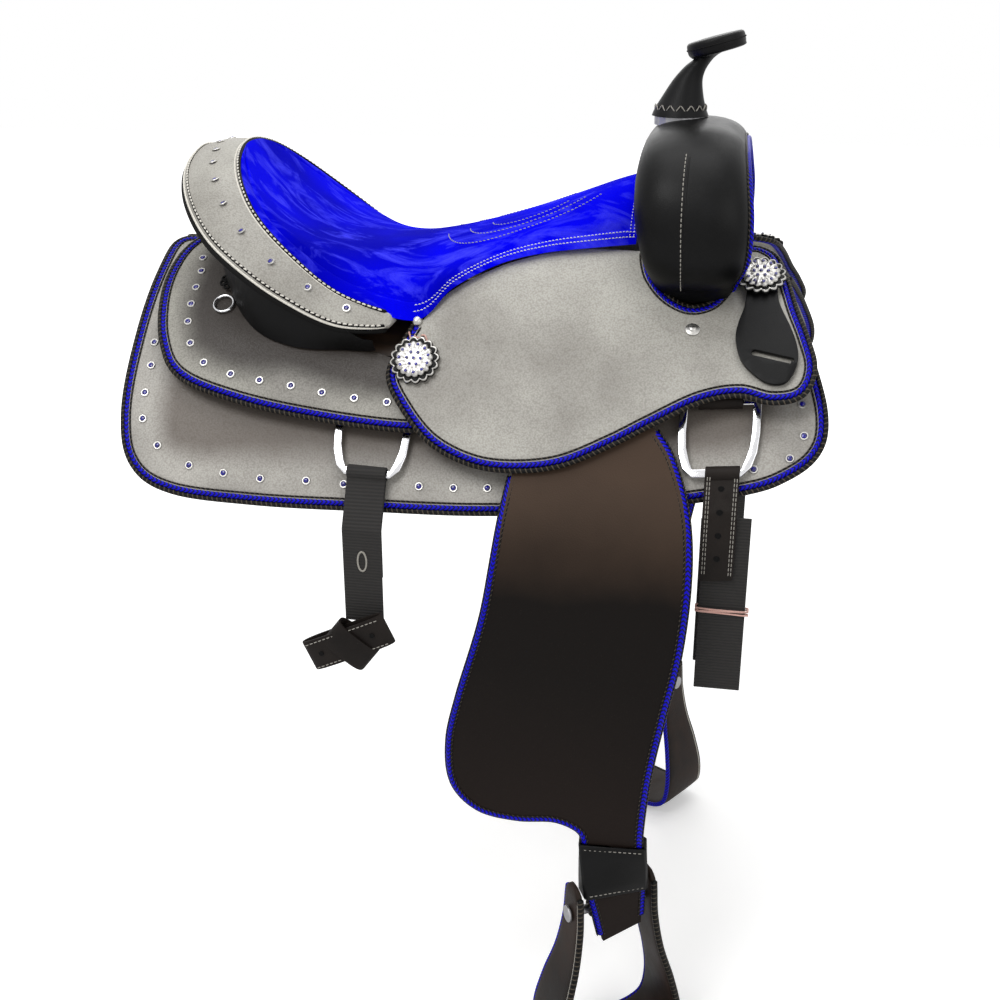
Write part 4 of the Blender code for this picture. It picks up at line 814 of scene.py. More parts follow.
def smooth(obj: bpy.types.Object, angle: float = 45.0) -> bpy.types.Object:
    """Shade a piece smooth, except at sharp edges.

    Args:
        obj: The piece.
        angle: Edges sharper than this stay sharp.

    Returns:
        The piece.
    """
    only(obj)
    bpy.ops.object.shade_smooth_by_angle(angle=math.radians(angle))
    return obj


def dress(obj: bpy.types.Object, *finishes: Finish) -> bpy.types.Object:
    """Give a piece its finishes, in slot order; each face keeps its own slot.

    Args:
        obj: The piece.
        finishes: The finishes.

    Returns:
        The piece.
    """
    slots = obj.data.materials
    for index, finish in enumerate(finishes):
        if index < len(slots):
            slots[index] = finish.material()
        else:
            slots.append(finish.material())
    return obj


def settle(obj: bpy.types.Object, body: str, nodes: Sequence[str] = (), slot: str = "") -> bpy.types.Object:
    """Give a finished piece to its body.

    Args:
        obj: The piece.
        body: Body that carries it.
        nodes: CAD nodes that it stands for.
        slot: Not used.

    Returns:
        The piece.
    """
    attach(obj, body)
    if nodes:
        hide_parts(*nodes)
    LOG.info("%s on %s, %d faces", obj.name, body, len(obj.data.polygons))
    return obj


def both_sides(obj: bpy.types.Object, body: str, nodes: Sequence[str] = (), slot: str = "") -> None:
    """Give a near-side piece to its body, with a mirrored copy on the off side.

    Args:
        obj: The near-side piece, whose name lacks its side.
        body: Body that carries it, with {side} where the side's word goes.
        nodes: CAD nodes that it stands for, written likewise.
        slot: Handed on to settle, which does not use it.
    """
    base = obj.name
    mesh = obj.data.copy()
    mesh.transform(Matrix.Scale(-1.0, 4, (0.0, 1.0, 0.0)))
    mesh.flip_normals()
    twin = bpy.data.objects.new(base, mesh)
    bpy.context.scene.collection.objects.link(twin)
    for piece, side in ((obj, Side.LEFT), (twin, Side.RIGHT)):
        piece.name = piece.data.name = f"{base}_{side.tag}"
        settle(piece, body.format(side=side.tag), [node.format(side=side.tag) for node in nodes], slot)


def grid_form(name: str, across: int, along: int, place: Callable[[float, float], Vector],
              closed: bool = True) -> bpy.types.Object:
    """Shape a grid primitive into a sheet or a tube.

    Args:
        name: Name of the piece.
        across: Faces across.
        along: Faces along.
        place: Gives each point from its two shares, 0 to 1.
        closed: Whether the result is a closed shell.

    Returns:
        The piece, with its shares kept in its UV map.
    """
    bpy.ops.object.select_all(action="DESELECT")
    bpy.ops.mesh.primitive_grid_add(x_subdivisions=across, y_subdivisions=along, size=1.0)
    obj = bpy.context.active_object
    obj.name = obj.data.name = name
    obj.data.uv_layers[0].name = "cord"
    for vert in obj.data.vertices:
        vert.co = place(vert.co.x + 0.5, vert.co.y + 0.5)
    if closed:
        in_edit(obj, merge, face_out)
    return smooth(obj)


def flat_sheet(name: str, loops: Sequence[Sequence[Vector]], cell: float,
               rim: tuple[int, int] | None = None) -> bpy.types.Object:
    """Fill closed flat outlines and cut them into cells.

    Args:
        name: Name of the piece.
        loops: The outline, then any holes.
        cell: Size of a cell.
        rim: First and last point of the open edge; the whole outline where it is left out.

    Returns:
        The flat piece, with each point's distance from the open edge in its attribute.
    """
    curve = bpy.data.curves.new(name, "CURVE")
    curve.dimensions, curve.fill_mode = "2D", "BOTH"
    for loop in loops:
        spline = curve.splines.new("POLY")
        spline.points.add(len(loop) - 1)
        for point, (a, b) in zip(spline.points, loop):
            point.co = (a, b, 0.0, 1.0)
        spline.use_cyclic_u = True
    obj = bpy.data.objects.new(name, curve)
    bpy.context.scene.collection.objects.link(obj)
    only(obj)
    bpy.ops.object.convert(target="MESH")
    obj = bpy.context.active_object
    if len(loops) == 1:
        in_edit(obj, merge, lambda: bpy.ops.mesh.dissolve_limited(angle_limit=math.radians(1.0)))
    else:
        in_edit(obj, merge)
    corners = np.array([vert.co[:2] for vert in obj.data.vertices])
    cuts = []
    for axis in (0, 1):
        low, high = corners[:, axis].min(), corners[:, axis].max()
        normal = Vector((0.0, 0.0, 0.0))
        normal[axis] = 1.0
        for k in range(math.ceil(low / cell), math.floor(high / cell) + 1):
            cuts.append(lambda place=normal * (k * cell), way=normal.copy():
                        bpy.ops.mesh.bisect(plane_co=place, plane_no=way, use_fill=False, threshold=1e-6))
    in_edit(obj, *cuts)
    points = np.array([vert.co[:2] for vert in obj.data.vertices])
    edge = np.array([tuple(p) for p in loops[0]])
    ahead = np.roll(edge, -1, axis=0) - edge
    if rim:
        edge, ahead = edge[rim[0]:rim[1]], ahead[rim[0]:rim[1]]
    share = ((points[:, None] - edge) * ahead).sum(2) / (ahead ** 2).sum(1)
    nearest = edge + ahead * np.clip(share, 0, 1)[..., None]
    inward = np.sqrt(((points[:, None] - nearest) ** 2).sum(2)).min(1)
    layer = obj.data.attributes.new("inward", "FLOAT", "POINT")
    layer.data.foreach_set("value", inward.astype(np.float32))
    return obj


def panel(name: str, loops: Sequence[Sequence[Vector]], thickness: float, place: Place, cell: float = 0.010,
          edge: float = 0.0009, rim: tuple[int, int] | None = None) -> bpy.types.Object:
    """Cut a panel of leather from a flat outline and bend it to its place.

    Args:
        name: Name of the piece.
        loops: The outline, then any holes.
        thickness: Thickness of the leather.
        place: Puts a point on the panel's inner face; the wall grows out from it.
        cell: Size of a cell.
        edge: Rounding of its edges.
        rim: First and last point of the open edge.

    Returns:
        The near-side panel.
    """
    obj = flat_sheet(name, loops, cell, rim)
    middle = sum((vert.co for vert in obj.data.vertices), Vector()) / len(obj.data.vertices)
    outward = place(middle.x, middle.y, 0.01) - place(middle.x, middle.y, 0.0)
    for vert in obj.data.vertices:
        vert.co = place(vert.co.x, vert.co.y, 0.0)
    obj.data.update()
    if sum(face.normal.dot(outward) * face.area for face in obj.data.polygons) < 0:
        obj.data.flip_normals()
    apply(obj, "SOLIDIFY", thickness=thickness, offset=1.0, use_even_offset=True)
    rounded(obj, edge, angle=50.0)
    return smooth(obj, 35.0)


def walked(points: Sequence[Vector]) -> np.ndarray:
    """Distance walked along a line at each of its points."""
    return np.concatenate([[0.0], np.cumsum([(b - a).length for a, b in zip(points, points[1:])])])


def read_off(values: Sequence[Vector], runs: np.ndarray, wanted: np.ndarray) -> list[Vector]:
    """Read the vectors of a line at wanted distances along it."""
    return [Vector(row) for row in np.array([np.interp(wanted, runs, [v[k] for v in values]) for k in range(3)]).T]


def straight(start: tuple[float, float], run: tuple[float, float], steps: int) -> list[Vector]:
    """Track of even steps from a start over a run in both sizes."""
    return [Vector((start[0] + run[0] * k / steps, start[1] + run[1] * k / steps)) for k in range(steps + 1)]


@dataclass
class Rail:
    """Line on a surface with the direction out of it at each point, for cords, stitches and studs."""

    points: list[Vector]
    outs: list[Vector]
    closed: bool = False

    @classmethod
    def laid(cls, place: Place, track: Sequence[Vector], out: float = 0.0, step: float = 0.003,
             closed: bool = False) -> "Rail":
        """Lay a rail on a surface at even steps.

        Args:
            place: Puts a point on the surface.
            track: Where the rail runs, in the surface's own two sizes.
            out: How far out it lies.
            step: Distance between its points.
            closed: Whether it comes back to its start.

        Returns:
            The rail.
        """
        track = list(track) + ([track[0]] if closed else [])
        raw = [place(p[0], p[1], out) for p in track]
        ways = [(place(p[0], p[1], out + 0.001) - q).normalized() for p, q in zip(track, raw)]
        runs = walked(raw)
        wanted = np.linspace(0.0, runs[-1], max(2, round(runs[-1] / step) + 1))
        return cls(read_off(raw, runs, wanted), [way.normalized() for way in read_off(ways, runs, wanted)], closed)

    @classmethod
    def ring(cls, track: Sequence[Vector], out: Vector) -> "Rail":
        """Closed rail through points that all face one way."""
        return cls([*track, track[0]], [out] * (len(track) + 1), True)

    @property
    def length(self) -> float:
        """Length of the rail."""
        return sum((b - a).length for a, b in zip(self.points, self.points[1:]))

    def along(self, index: int) -> Vector:
        """Direction of the rail at one of its points.

        Args:
            index: Number of the point.

        Returns:
            The direction.
        """
        last = len(self.points) - 1
        before, after = self.points[max(0, index - 1)], self.points[min(last, index + 1)]
        if self.closed and index in (0, last):
            before, after = self.points[-2], self.points[1]
        return (after - before).normalized()

    def stations(self, pitch: float) -> list[Station]:
        """Places at a pitch along the rail.

        Args:
            pitch: Distance between places.

        Returns:
            Point, direction along and direction out at each place.
        """
        step = self.length / (len(self.points) - 1)
        count = max(1, round(self.length / pitch))
        result = []
        for k in range(count + (0 if self.closed else 1)):
            where = self.length * k / count / step
            index = min(int(where), len(self.points) - 2)
            point = self.points[index].lerp(self.points[index + 1], min(1.0, where - index))
            result.append((point, self.along(index), self.outs[index]))
        return result


def cord(name: str, rail: Rail, radius: float, sides: int = 10, flat: float = 1.0) -> bpy.types.Object:
    """Lay a round or flattened cord along a rail.

    Args:
        name: Name of the piece.
        rail: Where its middle runs.
        radius: Half of its width.
        sides: Faces round it.
        flat: Height as a share of its width.

    Returns:
        The cord, whose map holds its turn and its distance along in metres.
    """
    last = len(rail.points) - 1

    def spot(u: float, v: float) -> Vector:
        """Point of the cord's skin.

        Args:
            u: Share round, 0 to 1.
            v: Share along, 0 to 1.

        Returns:
            The point.
        """
        index = round(v * last)
        out = rail.outs[index]
        beside = rail.along(index).cross(out).normalized()
        reach = 0.0 if not rail.closed and index in (0, last) else radius
        turn = 2 * math.pi * u
        return rail.points[index] + beside * (math.sin(turn) * reach) + out * (math.cos(turn) * reach * flat)

    obj = grid_form(name, sides, last, spot)
    for item in obj.data.uv_layers["cord"].data:
        item.uv.y *= rail.length
    return smooth(obj, 80.0)


def strap(name: str, rail: Rail, width: float, thickness: float, edge: float = 0.0007) -> bpy.types.Object:
    """Run a flat strap along a rail, its face towards the rail's outward direction.

    Args:
        name: Name of the piece.
        rail: Middle line of the strap.
        width: Width of the strap.
        thickness: Thickness of the strap.
        edge: Rounding of its long edges.

    Returns:
        The closed strap.
    """
    last = len(rail.points) - 1
    half, high = width / 2, thickness / 2
    ring = [(half, high - edge), (half - edge, high), (-half + edge, high), (-half, high - edge),
            (-half, -high + edge), (-half + edge, -high), (half - edge, -high), (half, -high + edge)]

    def spot(u: float, v: float) -> Vector:
        """Point of the strap's skin; both ends close on its middle line.

        Args:
            u: Share round, 0 to 1.
            v: Share along, 0 to 1.

        Returns:
            The point.
        """
        index = min(last, max(0, round(v * (last + 2)) - 1))
        a, b = ring[round(u * 8) % 8]
        reach = 0.0 if v in (0.0, 1.0) else 1.0
        out = rail.outs[index]
        beside = rail.along(index).cross(out).normalized()
        return rail.points[index] + (beside * a + out * b) * reach

    return smooth(grid_form(name, 8, last + 2, spot), 40.0)


Stamp = tuple[np.ndarray, list[list[int]], list[int]]


def stamp_of(obj: bpy.types.Object) -> Stamp:
    """Take the mesh of a modelled small part for copying, and remove the part.

    Args:
        obj: The piece.

    Returns:
        Its points, its faces and their slots.
    """
    points = np.array([vert.co[:] for vert in obj.data.vertices])
    faces = [list(face.vertices) for face in obj.data.polygons]
    slots = [face.material_index for face in obj.data.polygons]
    bpy.data.objects.remove(obj)
    return points, faces, slots


def stamped(name: str, stamp: Stamp, places: Sequence[Station], turn: float = 0.0) -> bpy.types.Object:
    """Copy one small part to many places as one piece.

    Args:
        name: Name of the piece.
        stamp: The part, with X along and Z out.
        places: Point, direction along and direction out of each copy.
        turn: Turn about the outward direction, whose sign alternates.

    Returns:
        The piece.
    """
    points, faces, slots = stamp
    spots, rings, marks = [], [], []
    for index, (where, along, out) in enumerate(places):
        across = out.cross(along).normalized()
        ahead = across.cross(out)
        spin = turn if index % 2 else -turn
        first = ahead * math.cos(spin) + across * math.sin(spin)
        second = across * math.cos(spin) - ahead * math.sin(spin)
        basis = np.array([first[:], second[:], out[:]])
        spots.append(points @ basis + np.array(where[:]))
        rings += [[v + index * len(points) for v in ring] for ring in faces]
        marks += slots
    mesh = bpy.data.meshes.new(name)
    mesh.from_pydata(np.concatenate(spots).tolist(), [], rings)
    mesh.polygons.foreach_set("material_index", marks)
    obj = bpy.data.objects.new(name, mesh)
    bpy.context.scene.collection.objects.link(obj)
    return smooth(obj, 50.0)


def small(add: Callable[..., object], **sizes: object) -> bpy.types.Object:
    """Add a primitive for a small part.

    Args:
        add: Operator that adds it.
        sizes: Its sizes.

    Returns:
        The part.
    """
    bpy.ops.object.select_all(action="DESELECT")
    add(**sizes)
    return bpy.context.active_object


def joined(pieces: Sequence[bpy.types.Object]) -> bpy.types.Object:
    """Join pieces into the first of them.

    Args:
        pieces: The pieces, the first of which stays.

    Returns:
        The one piece.
    """
    bpy.ops.object.select_all(action="DESELECT")
    for piece in pieces:
        piece.select_set(True)
    bpy.context.view_layer.objects.active = pieces[0]
    bpy.ops.object.transform_apply(location=True, rotation=True, scale=True)
    bpy.ops.object.join()
    return bpy.context.active_object


@lru_cache(maxsize=None)
def stitch_stamp(length: float, width: float) -> Stamp:
    """One stitch: a short thread that dips into the leather at both ends.

    Args:
        length: Length of the stitch.
        width: Width of the stitch.

    Returns:
        The stitch.
    """
    obj = small(bpy.ops.mesh.primitive_cylinder_add, vertices=6, radius=0.5, depth=1.0, rotation=(0, math.pi / 2, 0))
    bpy.ops.object.transform_apply(rotation=True)
    in_edit(obj, lambda: bpy.ops.mesh.bisect(plane_co=(-0.25, 0, 0), plane_no=(1, 0, 0)),
            lambda: bpy.ops.mesh.bisect(plane_co=(0.25, 0, 0), plane_no=(1, 0, 0)))
    for vert in obj.data.vertices:
        at_end = abs(vert.co.x) > 0.4
        vert.co.x *= length
        vert.co.y *= width * (0.6 if at_end else 1.0)
        vert.co.z = vert.co.z * width * (0.5 if at_end else 1.0) + (-0.2 if at_end else 0.25) * width
    return stamp_of(obj)


@lru_cache(maxsize=None)
def stud_stamp(radius: float = 0.0045, gem: float = 0.0024) -> Stamp:
    """One stud: a rolled silver ring round a cut crystal.

    Args:
        radius: Outer radius.
        gem: Radius of the crystal.

    Returns:
        The stud.
    """
    ring = small(bpy.ops.mesh.primitive_torus_add, major_segments=18, minor_segments=6,
                 major_radius=(radius + gem) / 2, minor_radius=(radius - gem) / 2)
    for vert in ring.data.vertices:
        vert.co.z = vert.co.z * 0.8 + 0.0006
    crystal = small(bpy.ops.mesh.primitive_uv_sphere_add, segments=10, ring_count=6, radius=gem * 1.08)
    for vert in crystal.data.vertices:
        vert.co.z = min(vert.co.z * 0.75, gem * 0.55) + 0.0006
    crystal.data.polygons.foreach_set("material_index", [1] * len(crystal.data.polygons))
    for obj in (ring, crystal):
        obj.data.materials.clear()
        for _ in range(2):
            obj.data.materials.append(None)
    ring_stamp, gem_stamp = stamp_of(ring), stamp_of(crystal)
    count = len(ring_stamp[0])
    return (np.concatenate([ring_stamp[0], gem_stamp[0]]),
            ring_stamp[1] + [[v + count for v in face] for face in gem_stamp[1]],
            [0] * len(ring_stamp[1]) + [1] * len(gem_stamp[1]))


@lru_cache(maxsize=None)
def hole_stamp(radius: float) -> Stamp:
    """One punched hole: a sunk dark disc with a pressed rim.

    Args:
        radius: Radius of the hole.

    Returns:
        The hole.
    """
    obj = small(bpy.ops.mesh.primitive_torus_add, major_segments=14, minor_segments=5, major_radius=radius,
                minor_radius=radius * 0.22)
    disc = small(bpy.ops.mesh.primitive_circle_add, vertices=14, radius=radius, fill_type="NGON",
                 location=(0, 0, 0.0001))
    return stamp_of(joined([obj, disc]))


def refined(node: str, name: str, finish: Finish, body: str, edge: float, segments: int = 2,
            slot: str = "") -> None:
    """Give both bodies a copy of a CAD node with merged faces and rounded edges in its place.

    Args:
        node: CAD node to copy, without its side.
        name: Name of the new piece, without its side.
        finish: Its finish.
        body: Body that carries it.
        edge: Rounding of its edges.
        segments: Steps in the rounding.
        slot: Handed on to both_sides and settle, which do not use it.
    """
    obj = bpy.data.objects.new(name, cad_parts[f"{node}_left"].data.copy())
    obj.data.name = name
    bpy.context.scene.collection.objects.link(obj)
    in_edit(obj, merge, lambda: bpy.ops.mesh.dissolve_limited(angle_limit=math.radians(2.0)))
    rounded(obj, edge, segments, 35.0)
    both_sides(dress(smooth(obj, 40.0), finish), body, [f"{node}_{{side}}"], slot)


def lay(name: str, rail: Rail, radius: float, finish: Finish, body: str = "saddle", sides: int = 10,
        flat: float = 1.0, pair: bool = False) -> None:
    """Give a body a cord along a rail.

    Args:
        name: Name of the cord, without its side.
        rail: Where its middle runs.
        radius: Half of its width.
        finish: Its finish.
        body: Body that carries it.
        sides: Faces round it.
        flat: Height as a share of its width.
        pair: Whether the off side has a mirrored copy.
    """
    (both_sides if pair else settle)(dress(cord(name, rail, radius, sides, flat), finish), body)


def sew(name: str, places: Sequence[Station], finish: Finish, size: tuple[float, float] = (0.0034, 0.0010),
        body: str = "saddle", turn: float = 0.0, pair: bool = False) -> None:
    """Give a body a row of stitches.

    Args:
        name: Name of the row, without its side.
        places: Point, direction along and direction out of each stitch.
        finish: The thread.
        size: Length and width of a stitch.
        body: Body that carries it.
        turn: Slant of the stitches, whose sign alternates.
        pair: Whether the off side has a mirrored copy.
    """
    (both_sides if pair else settle)(dress(stamped(name, stitch_stamp(*size), places, turn), finish), body)


# Edges shared by several panels


@dataclass(frozen=True)
class Edging:
    """Corded edge of a panel: a blue braid on the rim between two slanted whip laces."""

    braid: float = 0.0030
    outer: float = 0.0026
    inner: float = 0.0011
    whipped: bool = True

    def lay(self, name: str, place: Place, outline: Sequence[Vector], span: tuple[int, int], thickness: float,
            body: str, nodes: Sequence[str] = ()) -> None:
        """Lay the cords along a stretch of an outline.

        Args:
            name: Name of the edge, without its side.
            place: Puts a point on the panel's inner face.
            outline: The panel's outline.
            span: First and last point of the stretch.
            thickness: Thickness of the panel.
            body: Body that carries it.
            nodes: CAD nodes that the braid stands for.
        """
        rows = [("braid", BLUE_BRAID, 0.0004, thickness * 0.55, self.braid, 10, nodes),
                ("lace_in", WHIP, -self.braid - self.inner + 0.0006, thickness + 0.0002, self.inner, 6, ()),
                ("lace_out", WHIP if self.whipped else EDGE, self.braid + self.outer - 0.0002, thickness * 0.40,
                 self.outer, 8, ())]
        for label, finish, shift, lift, radius, sides, stands_for in rows:
            track = inset(outline, -shift)[span[0]:span[1] + 1]
            rail = Rail.laid(place, track, lift)
            obj = dress(cord(f"{name}_{label}", rail, radius, sides), finish)
            both_sides(obj, body, stands_for, "blue_piping" if label == "braid" else "")


def studs(name: str, place: Place, spots: Sequence[tuple[float, float]], lift: float, body: str) -> None:
    """Set crystal studs on a panel.

    Args:
        name: Name of the set, without its side.
        place: Puts a point on the panel's inner face.
        spots: Where the studs sit.
        lift: Thickness of the panel.
        body: Body that carries them.
    """
    rows = []
    for a, b in spots:
        point = place(a, b, lift)
        rows.append((point, (place(a + 0.002, b, lift) - point).normalized(),
                     (place(a, b, lift + 0.002) - point).normalized()))
    both_sides(dress(stamped(name, stud_stamp(), rows), SILVER, GEM), body)


# Skirts, jockeys and keepers


@dataclass
class Skirt:
    """Skirt with its corded edge, its studs and its shearling lining."""

    thickness: float = 0.0045
    depth: float = 0.0123
    fleece: float = 0.012
    fleece_inset: float = 0.006
    curl: float = 0.0016
    outline: tuple = (
        (-0.340, -0.002, "C"), (-0.366, 0.012), (-0.369, 0.060), (-0.367, 0.150), (-0.363, 0.235),
        (-0.347, 0.282), (-0.306, 0.300), (-0.220, 0.298), (-0.100, 0.290), (0.015, 0.285), (0.140, 0.276),
        (0.262, 0.262), (0.306, 0.249), (0.331, 0.228), (0.335, 0.195), (0.322, 0.140), (0.296, 0.048, "C"),
        (0.150, 0.038), (0.000, 0.036), (-0.200, 0.034), (-0.285, 0.012))
    piped: tuple[int, int] = (1, 127)
    stud_spots: tuple = (
        (-0.354, 0.053), (-0.351, 0.077), (-0.352, 0.101), (-0.351, 0.127), (-0.351, 0.156), (-0.348, 0.182),
        (-0.348, 0.212), (-0.345, 0.239), (-0.325, 0.263), (-0.289, 0.277), (-0.252, 0.279), (-0.213, 0.279),
        (-0.165, 0.275), (-0.126, 0.274), (-0.091, 0.271), (-0.049, 0.269), (-0.014, 0.268), (0.020, 0.266),
        (0.204, 0.251), (0.276, 0.245), (0.309, 0.236), (0.321, 0.215), (0.318, 0.183))

    def build(self) -> None:
        """Build the skirt on both sides."""
        outline = smooth_outline(self.outline)
        place = BACK.layer(level(self.depth))
        skirt = dress(panel("skirt_leather", [outline], self.thickness, place, rim=self.piped), SKIRT_GREY)
        both_sides(skirt, "saddle", ["skirt_{side}"], "grey_leather")
        Edging().lay("skirt_edge", place, outline, self.piped, self.thickness, "saddle", ["skirt_piping_{side}"])
        studs("skirt_studs", place, self.stud_spots, self.thickness, "saddle")
        self.line(outline)

    def line(self, outline: Sequence[Vector]) -> None:
        """Line the skirt with shearling whose curls stand down and at the edge.

        Args:
            outline: The skirt's outline.
        """
        fleece = panel("skirt_fleece", [inset(outline, self.fleece_inset)], self.fleece - 0.001,
                       BACK.layer(level(0.001)), cell=0.008, edge=0.003)
        for vert in fleece.data.vertices:
            lift = noise.noise(vert.co * 130.0) + 0.5 * noise.noise(vert.co * 290.0)
            vert.co += vert.normal * (lift * self.curl - 0.0005)
        both_sides(dress(fleece, WOOL), "saddle", ["fleece_{side}"], "fleece")


@dataclass(frozen=True)
class Crest:
    """Curve of the cantle's crest, from the rear middle at 0 to the front ends at 90 degrees."""

    x: float = -0.067
    length: float = 0.213
    power: float = 0.75
    half_widths: tuple = ((0, 0.0), (15, 0.052), (30, 0.098), (45, 0.132), (60, 0.149), (75, 0.154), (90, 0.151))
    heights: tuple = ((0, 0.146), (15, 0.138), (30, 0.116), (45, 0.086), (60, 0.053), (75, 0.0165), (90, -0.0075))
    foot_in: tuple = ((0, -0.006), (34, -0.010), (48, -0.014), (76, -0.026))
    foot_width: float = 0.018

    def point(self, angle: float) -> Vector:
        """Point on the crest.

        Args:
            angle: Place on the crest, in degrees.

        Returns:
            The point.
        """
        turn = min(90.0, abs(angle))
        x = self.x - self.length * max(0.0, math.cos(math.radians(turn))) ** self.power
        across = eased(turn, self.half_widths)
        return Vector((x, math.copysign(across, angle), eased(turn, self.heights, even=True)))

    def out(self, angle: float) -> Vector:
        """Level direction straight out from the crest."""
        along = self.point(angle + 2.0) - self.point(angle - 2.0)
        return Vector((-along.y, along.x, 0.0)).normalized()

    def section(self, angle: float, outward: float, up: float) -> Vector:
        """Point out from the crest and up from it."""
        return self.point(angle) + self.out(angle) * outward + Vector((0.0, 0.0, up))

    def foot(self, angle: float) -> float:
        """How far out from the crest the cantle's back meets the rear jockey."""
        return ramp(angle, self.foot_in) + self.foot_width

    def over_jockey(self, angle: float, outward: float) -> float:
        """Height of the rear jockey's face beside the crest, measured from the crest.

        Args:
            angle: Place on the crest, in degrees.
            outward: Distance out from the crest.

        Returns:
            The height.
        """
        spot = self.section(angle, outward, 0.0)
        radius = BACK.radius + REAR_DEPTH
        sine = (abs(spot.y) + BACK.radius * math.sin(BACK.spine)) / radius
        cosine = math.sqrt(1.0 - sine * sine)
        height = BACK.ridge(spot.x) - BACK.radius * math.cos(BACK.spine) + radius * cosine
        return height + 0.001 - self.point(angle).z


CREST = Crest()


@dataclass
class RearJockey:
    """Rear jockey behind the cantle, with its corded edge and studs."""

    thickness: float = 0.004
    tuck: float = 0.006
    outline: tuple = (
        (-0.300, 0.004, "C"), (-0.331, 0.023), (-0.345, 0.055), (-0.346, 0.105), (-0.331, 0.160), (-0.304, 0.191),
        (-0.239, 0.206), (-0.143, 0.213), (-0.071, 0.215), (-0.040, 0.212, "C"), (-0.035, 0.165, "C"))
    piped: tuple[int, int] = (1, 72)
    stud_spots: tuple = (
        (-0.321, 0.055), (-0.316, 0.074), (-0.315, 0.096), (-0.314, 0.117), (-0.311, 0.138), (-0.302, 0.161),
        (-0.283, 0.179), (-0.252, 0.187), (-0.221, 0.189), (-0.188, 0.190), (-0.155, 0.193), (-0.121, 0.195),
        (-0.087, 0.196))

    def build(self) -> None:
        """Build the rear jockey on both sides."""
        hidden = []
        for angle in (80, 70, 60, 50, 40, 30, 20, 12, 5):
            spot = CREST.section(angle, CREST.foot(angle) + self.tuck, 0.0)
            sine = (spot.y + BACK.radius * math.sin(BACK.spine)) / (BACK.radius + REAR_DEPTH)
            hidden.append((spot.x, BACK.radius * (math.asin(sine) - BACK.spine)))
        outline = smooth_outline(self.outline + tuple(hidden))
        place = BACK.layer(self.under)
        jockey = dress(panel("rear_jockey_leather", [outline], self.thickness, place, rim=self.piped), REAR_GREY)
        both_sides(jockey, "saddle", ["rear_jockey_{side}"], "grey_leather")
        Edging().lay("rear_jockey_edge", place, outline, self.piped, self.thickness, "saddle")
        studs("rear_jockey_studs", place, self.stud_spots, self.thickness, "saddle")

    def under(self, x: float, down: float) -> float:
        """Inner face of the rear jockey over the back."""
        return rear_jockey_face(x, down) - self.thickness


@dataclass
class SeatJockey:
    """Front jockey and seat skirt in one piece, cut out round the swell, with its corded edge and screw."""

    thickness: float = 0.004
    outline: tuple = (
        (-0.060, 0.124, "C"), (-0.074, 0.148), (-0.082, 0.172), (-0.068, 0.196), (-0.036, 0.227), (0.004, 0.244),
        (0.045, 0.248), (0.092, 0.242), (0.138, 0.223), (0.174, 0.205), (0.219, 0.184), (0.257, 0.178),
        (0.288, 0.186), (0.313, 0.182), (0.321, 0.160), (0.313, 0.129), (0.302, 0.097), (0.292, 0.058),
        (0.283, 0.030), (0.273, 0.019), (0.263, 0.016), (0.254, 0.022), (0.249, 0.040), (0.242, 0.070),
        (0.228, 0.093), (0.205, 0.101), (0.181, 0.092), (0.163, 0.074), (0.156, 0.057), (0.154, 0.042, "C"),
        (0.092, 0.051), (0.042, 0.061), (0.004, 0.074), (-0.036, 0.097))
    piped: tuple[int, int] = (1, 231)
    screw: tuple[float, float] = (0.209, 0.120)

    def under(self, x: float, down: float) -> float:
        """Inner face of the jockey over the back."""
        return jockey_face(x, down) - self.thickness

    def build(self) -> None:
        """Build the jockey on both sides."""
        outline = smooth_outline(self.outline)
        place = BACK.layer(self.under)
        jockey = dress(panel("seat_jockey_leather", [outline], self.thickness, place), FLAP_GREY)
        both_sides(jockey, "saddle", ["seat_jockey_{side}"], "grey_leather")
        Edging().lay("seat_jockey_edge", place, outline, self.piped, self.thickness, "saddle",
                     ["seat_jockey_piping_{side}"])
        self.fix(place)

    def fix(self, place: Place) -> None:
        """Set the screw and its washer below the swell.

        Args:
            place: Puts a point on the panel's inner face.
        """
        point = place(*self.screw, self.thickness)
        out = (place(*self.screw, self.thickness + 0.002) - point).normalized()
        ahead = (place(self.screw[0] + 0.002, self.screw[1], self.thickness) - point).normalized()
        profile = [(0.0, 0.0036), (0.3, 0.0035), (0.48, 0.0028), (0.55, 0.0016), (0.60, 0.0014), (0.86, 0.0013),
                   (1.0, 0.0006), (1.0, -0.0004), (0.0, -0.0004)]
        screw = turned("jockey_screw", point, ahead, out, 0.0072, profile, 28)
        both_sides(dress(screw, SILVER), "saddle")


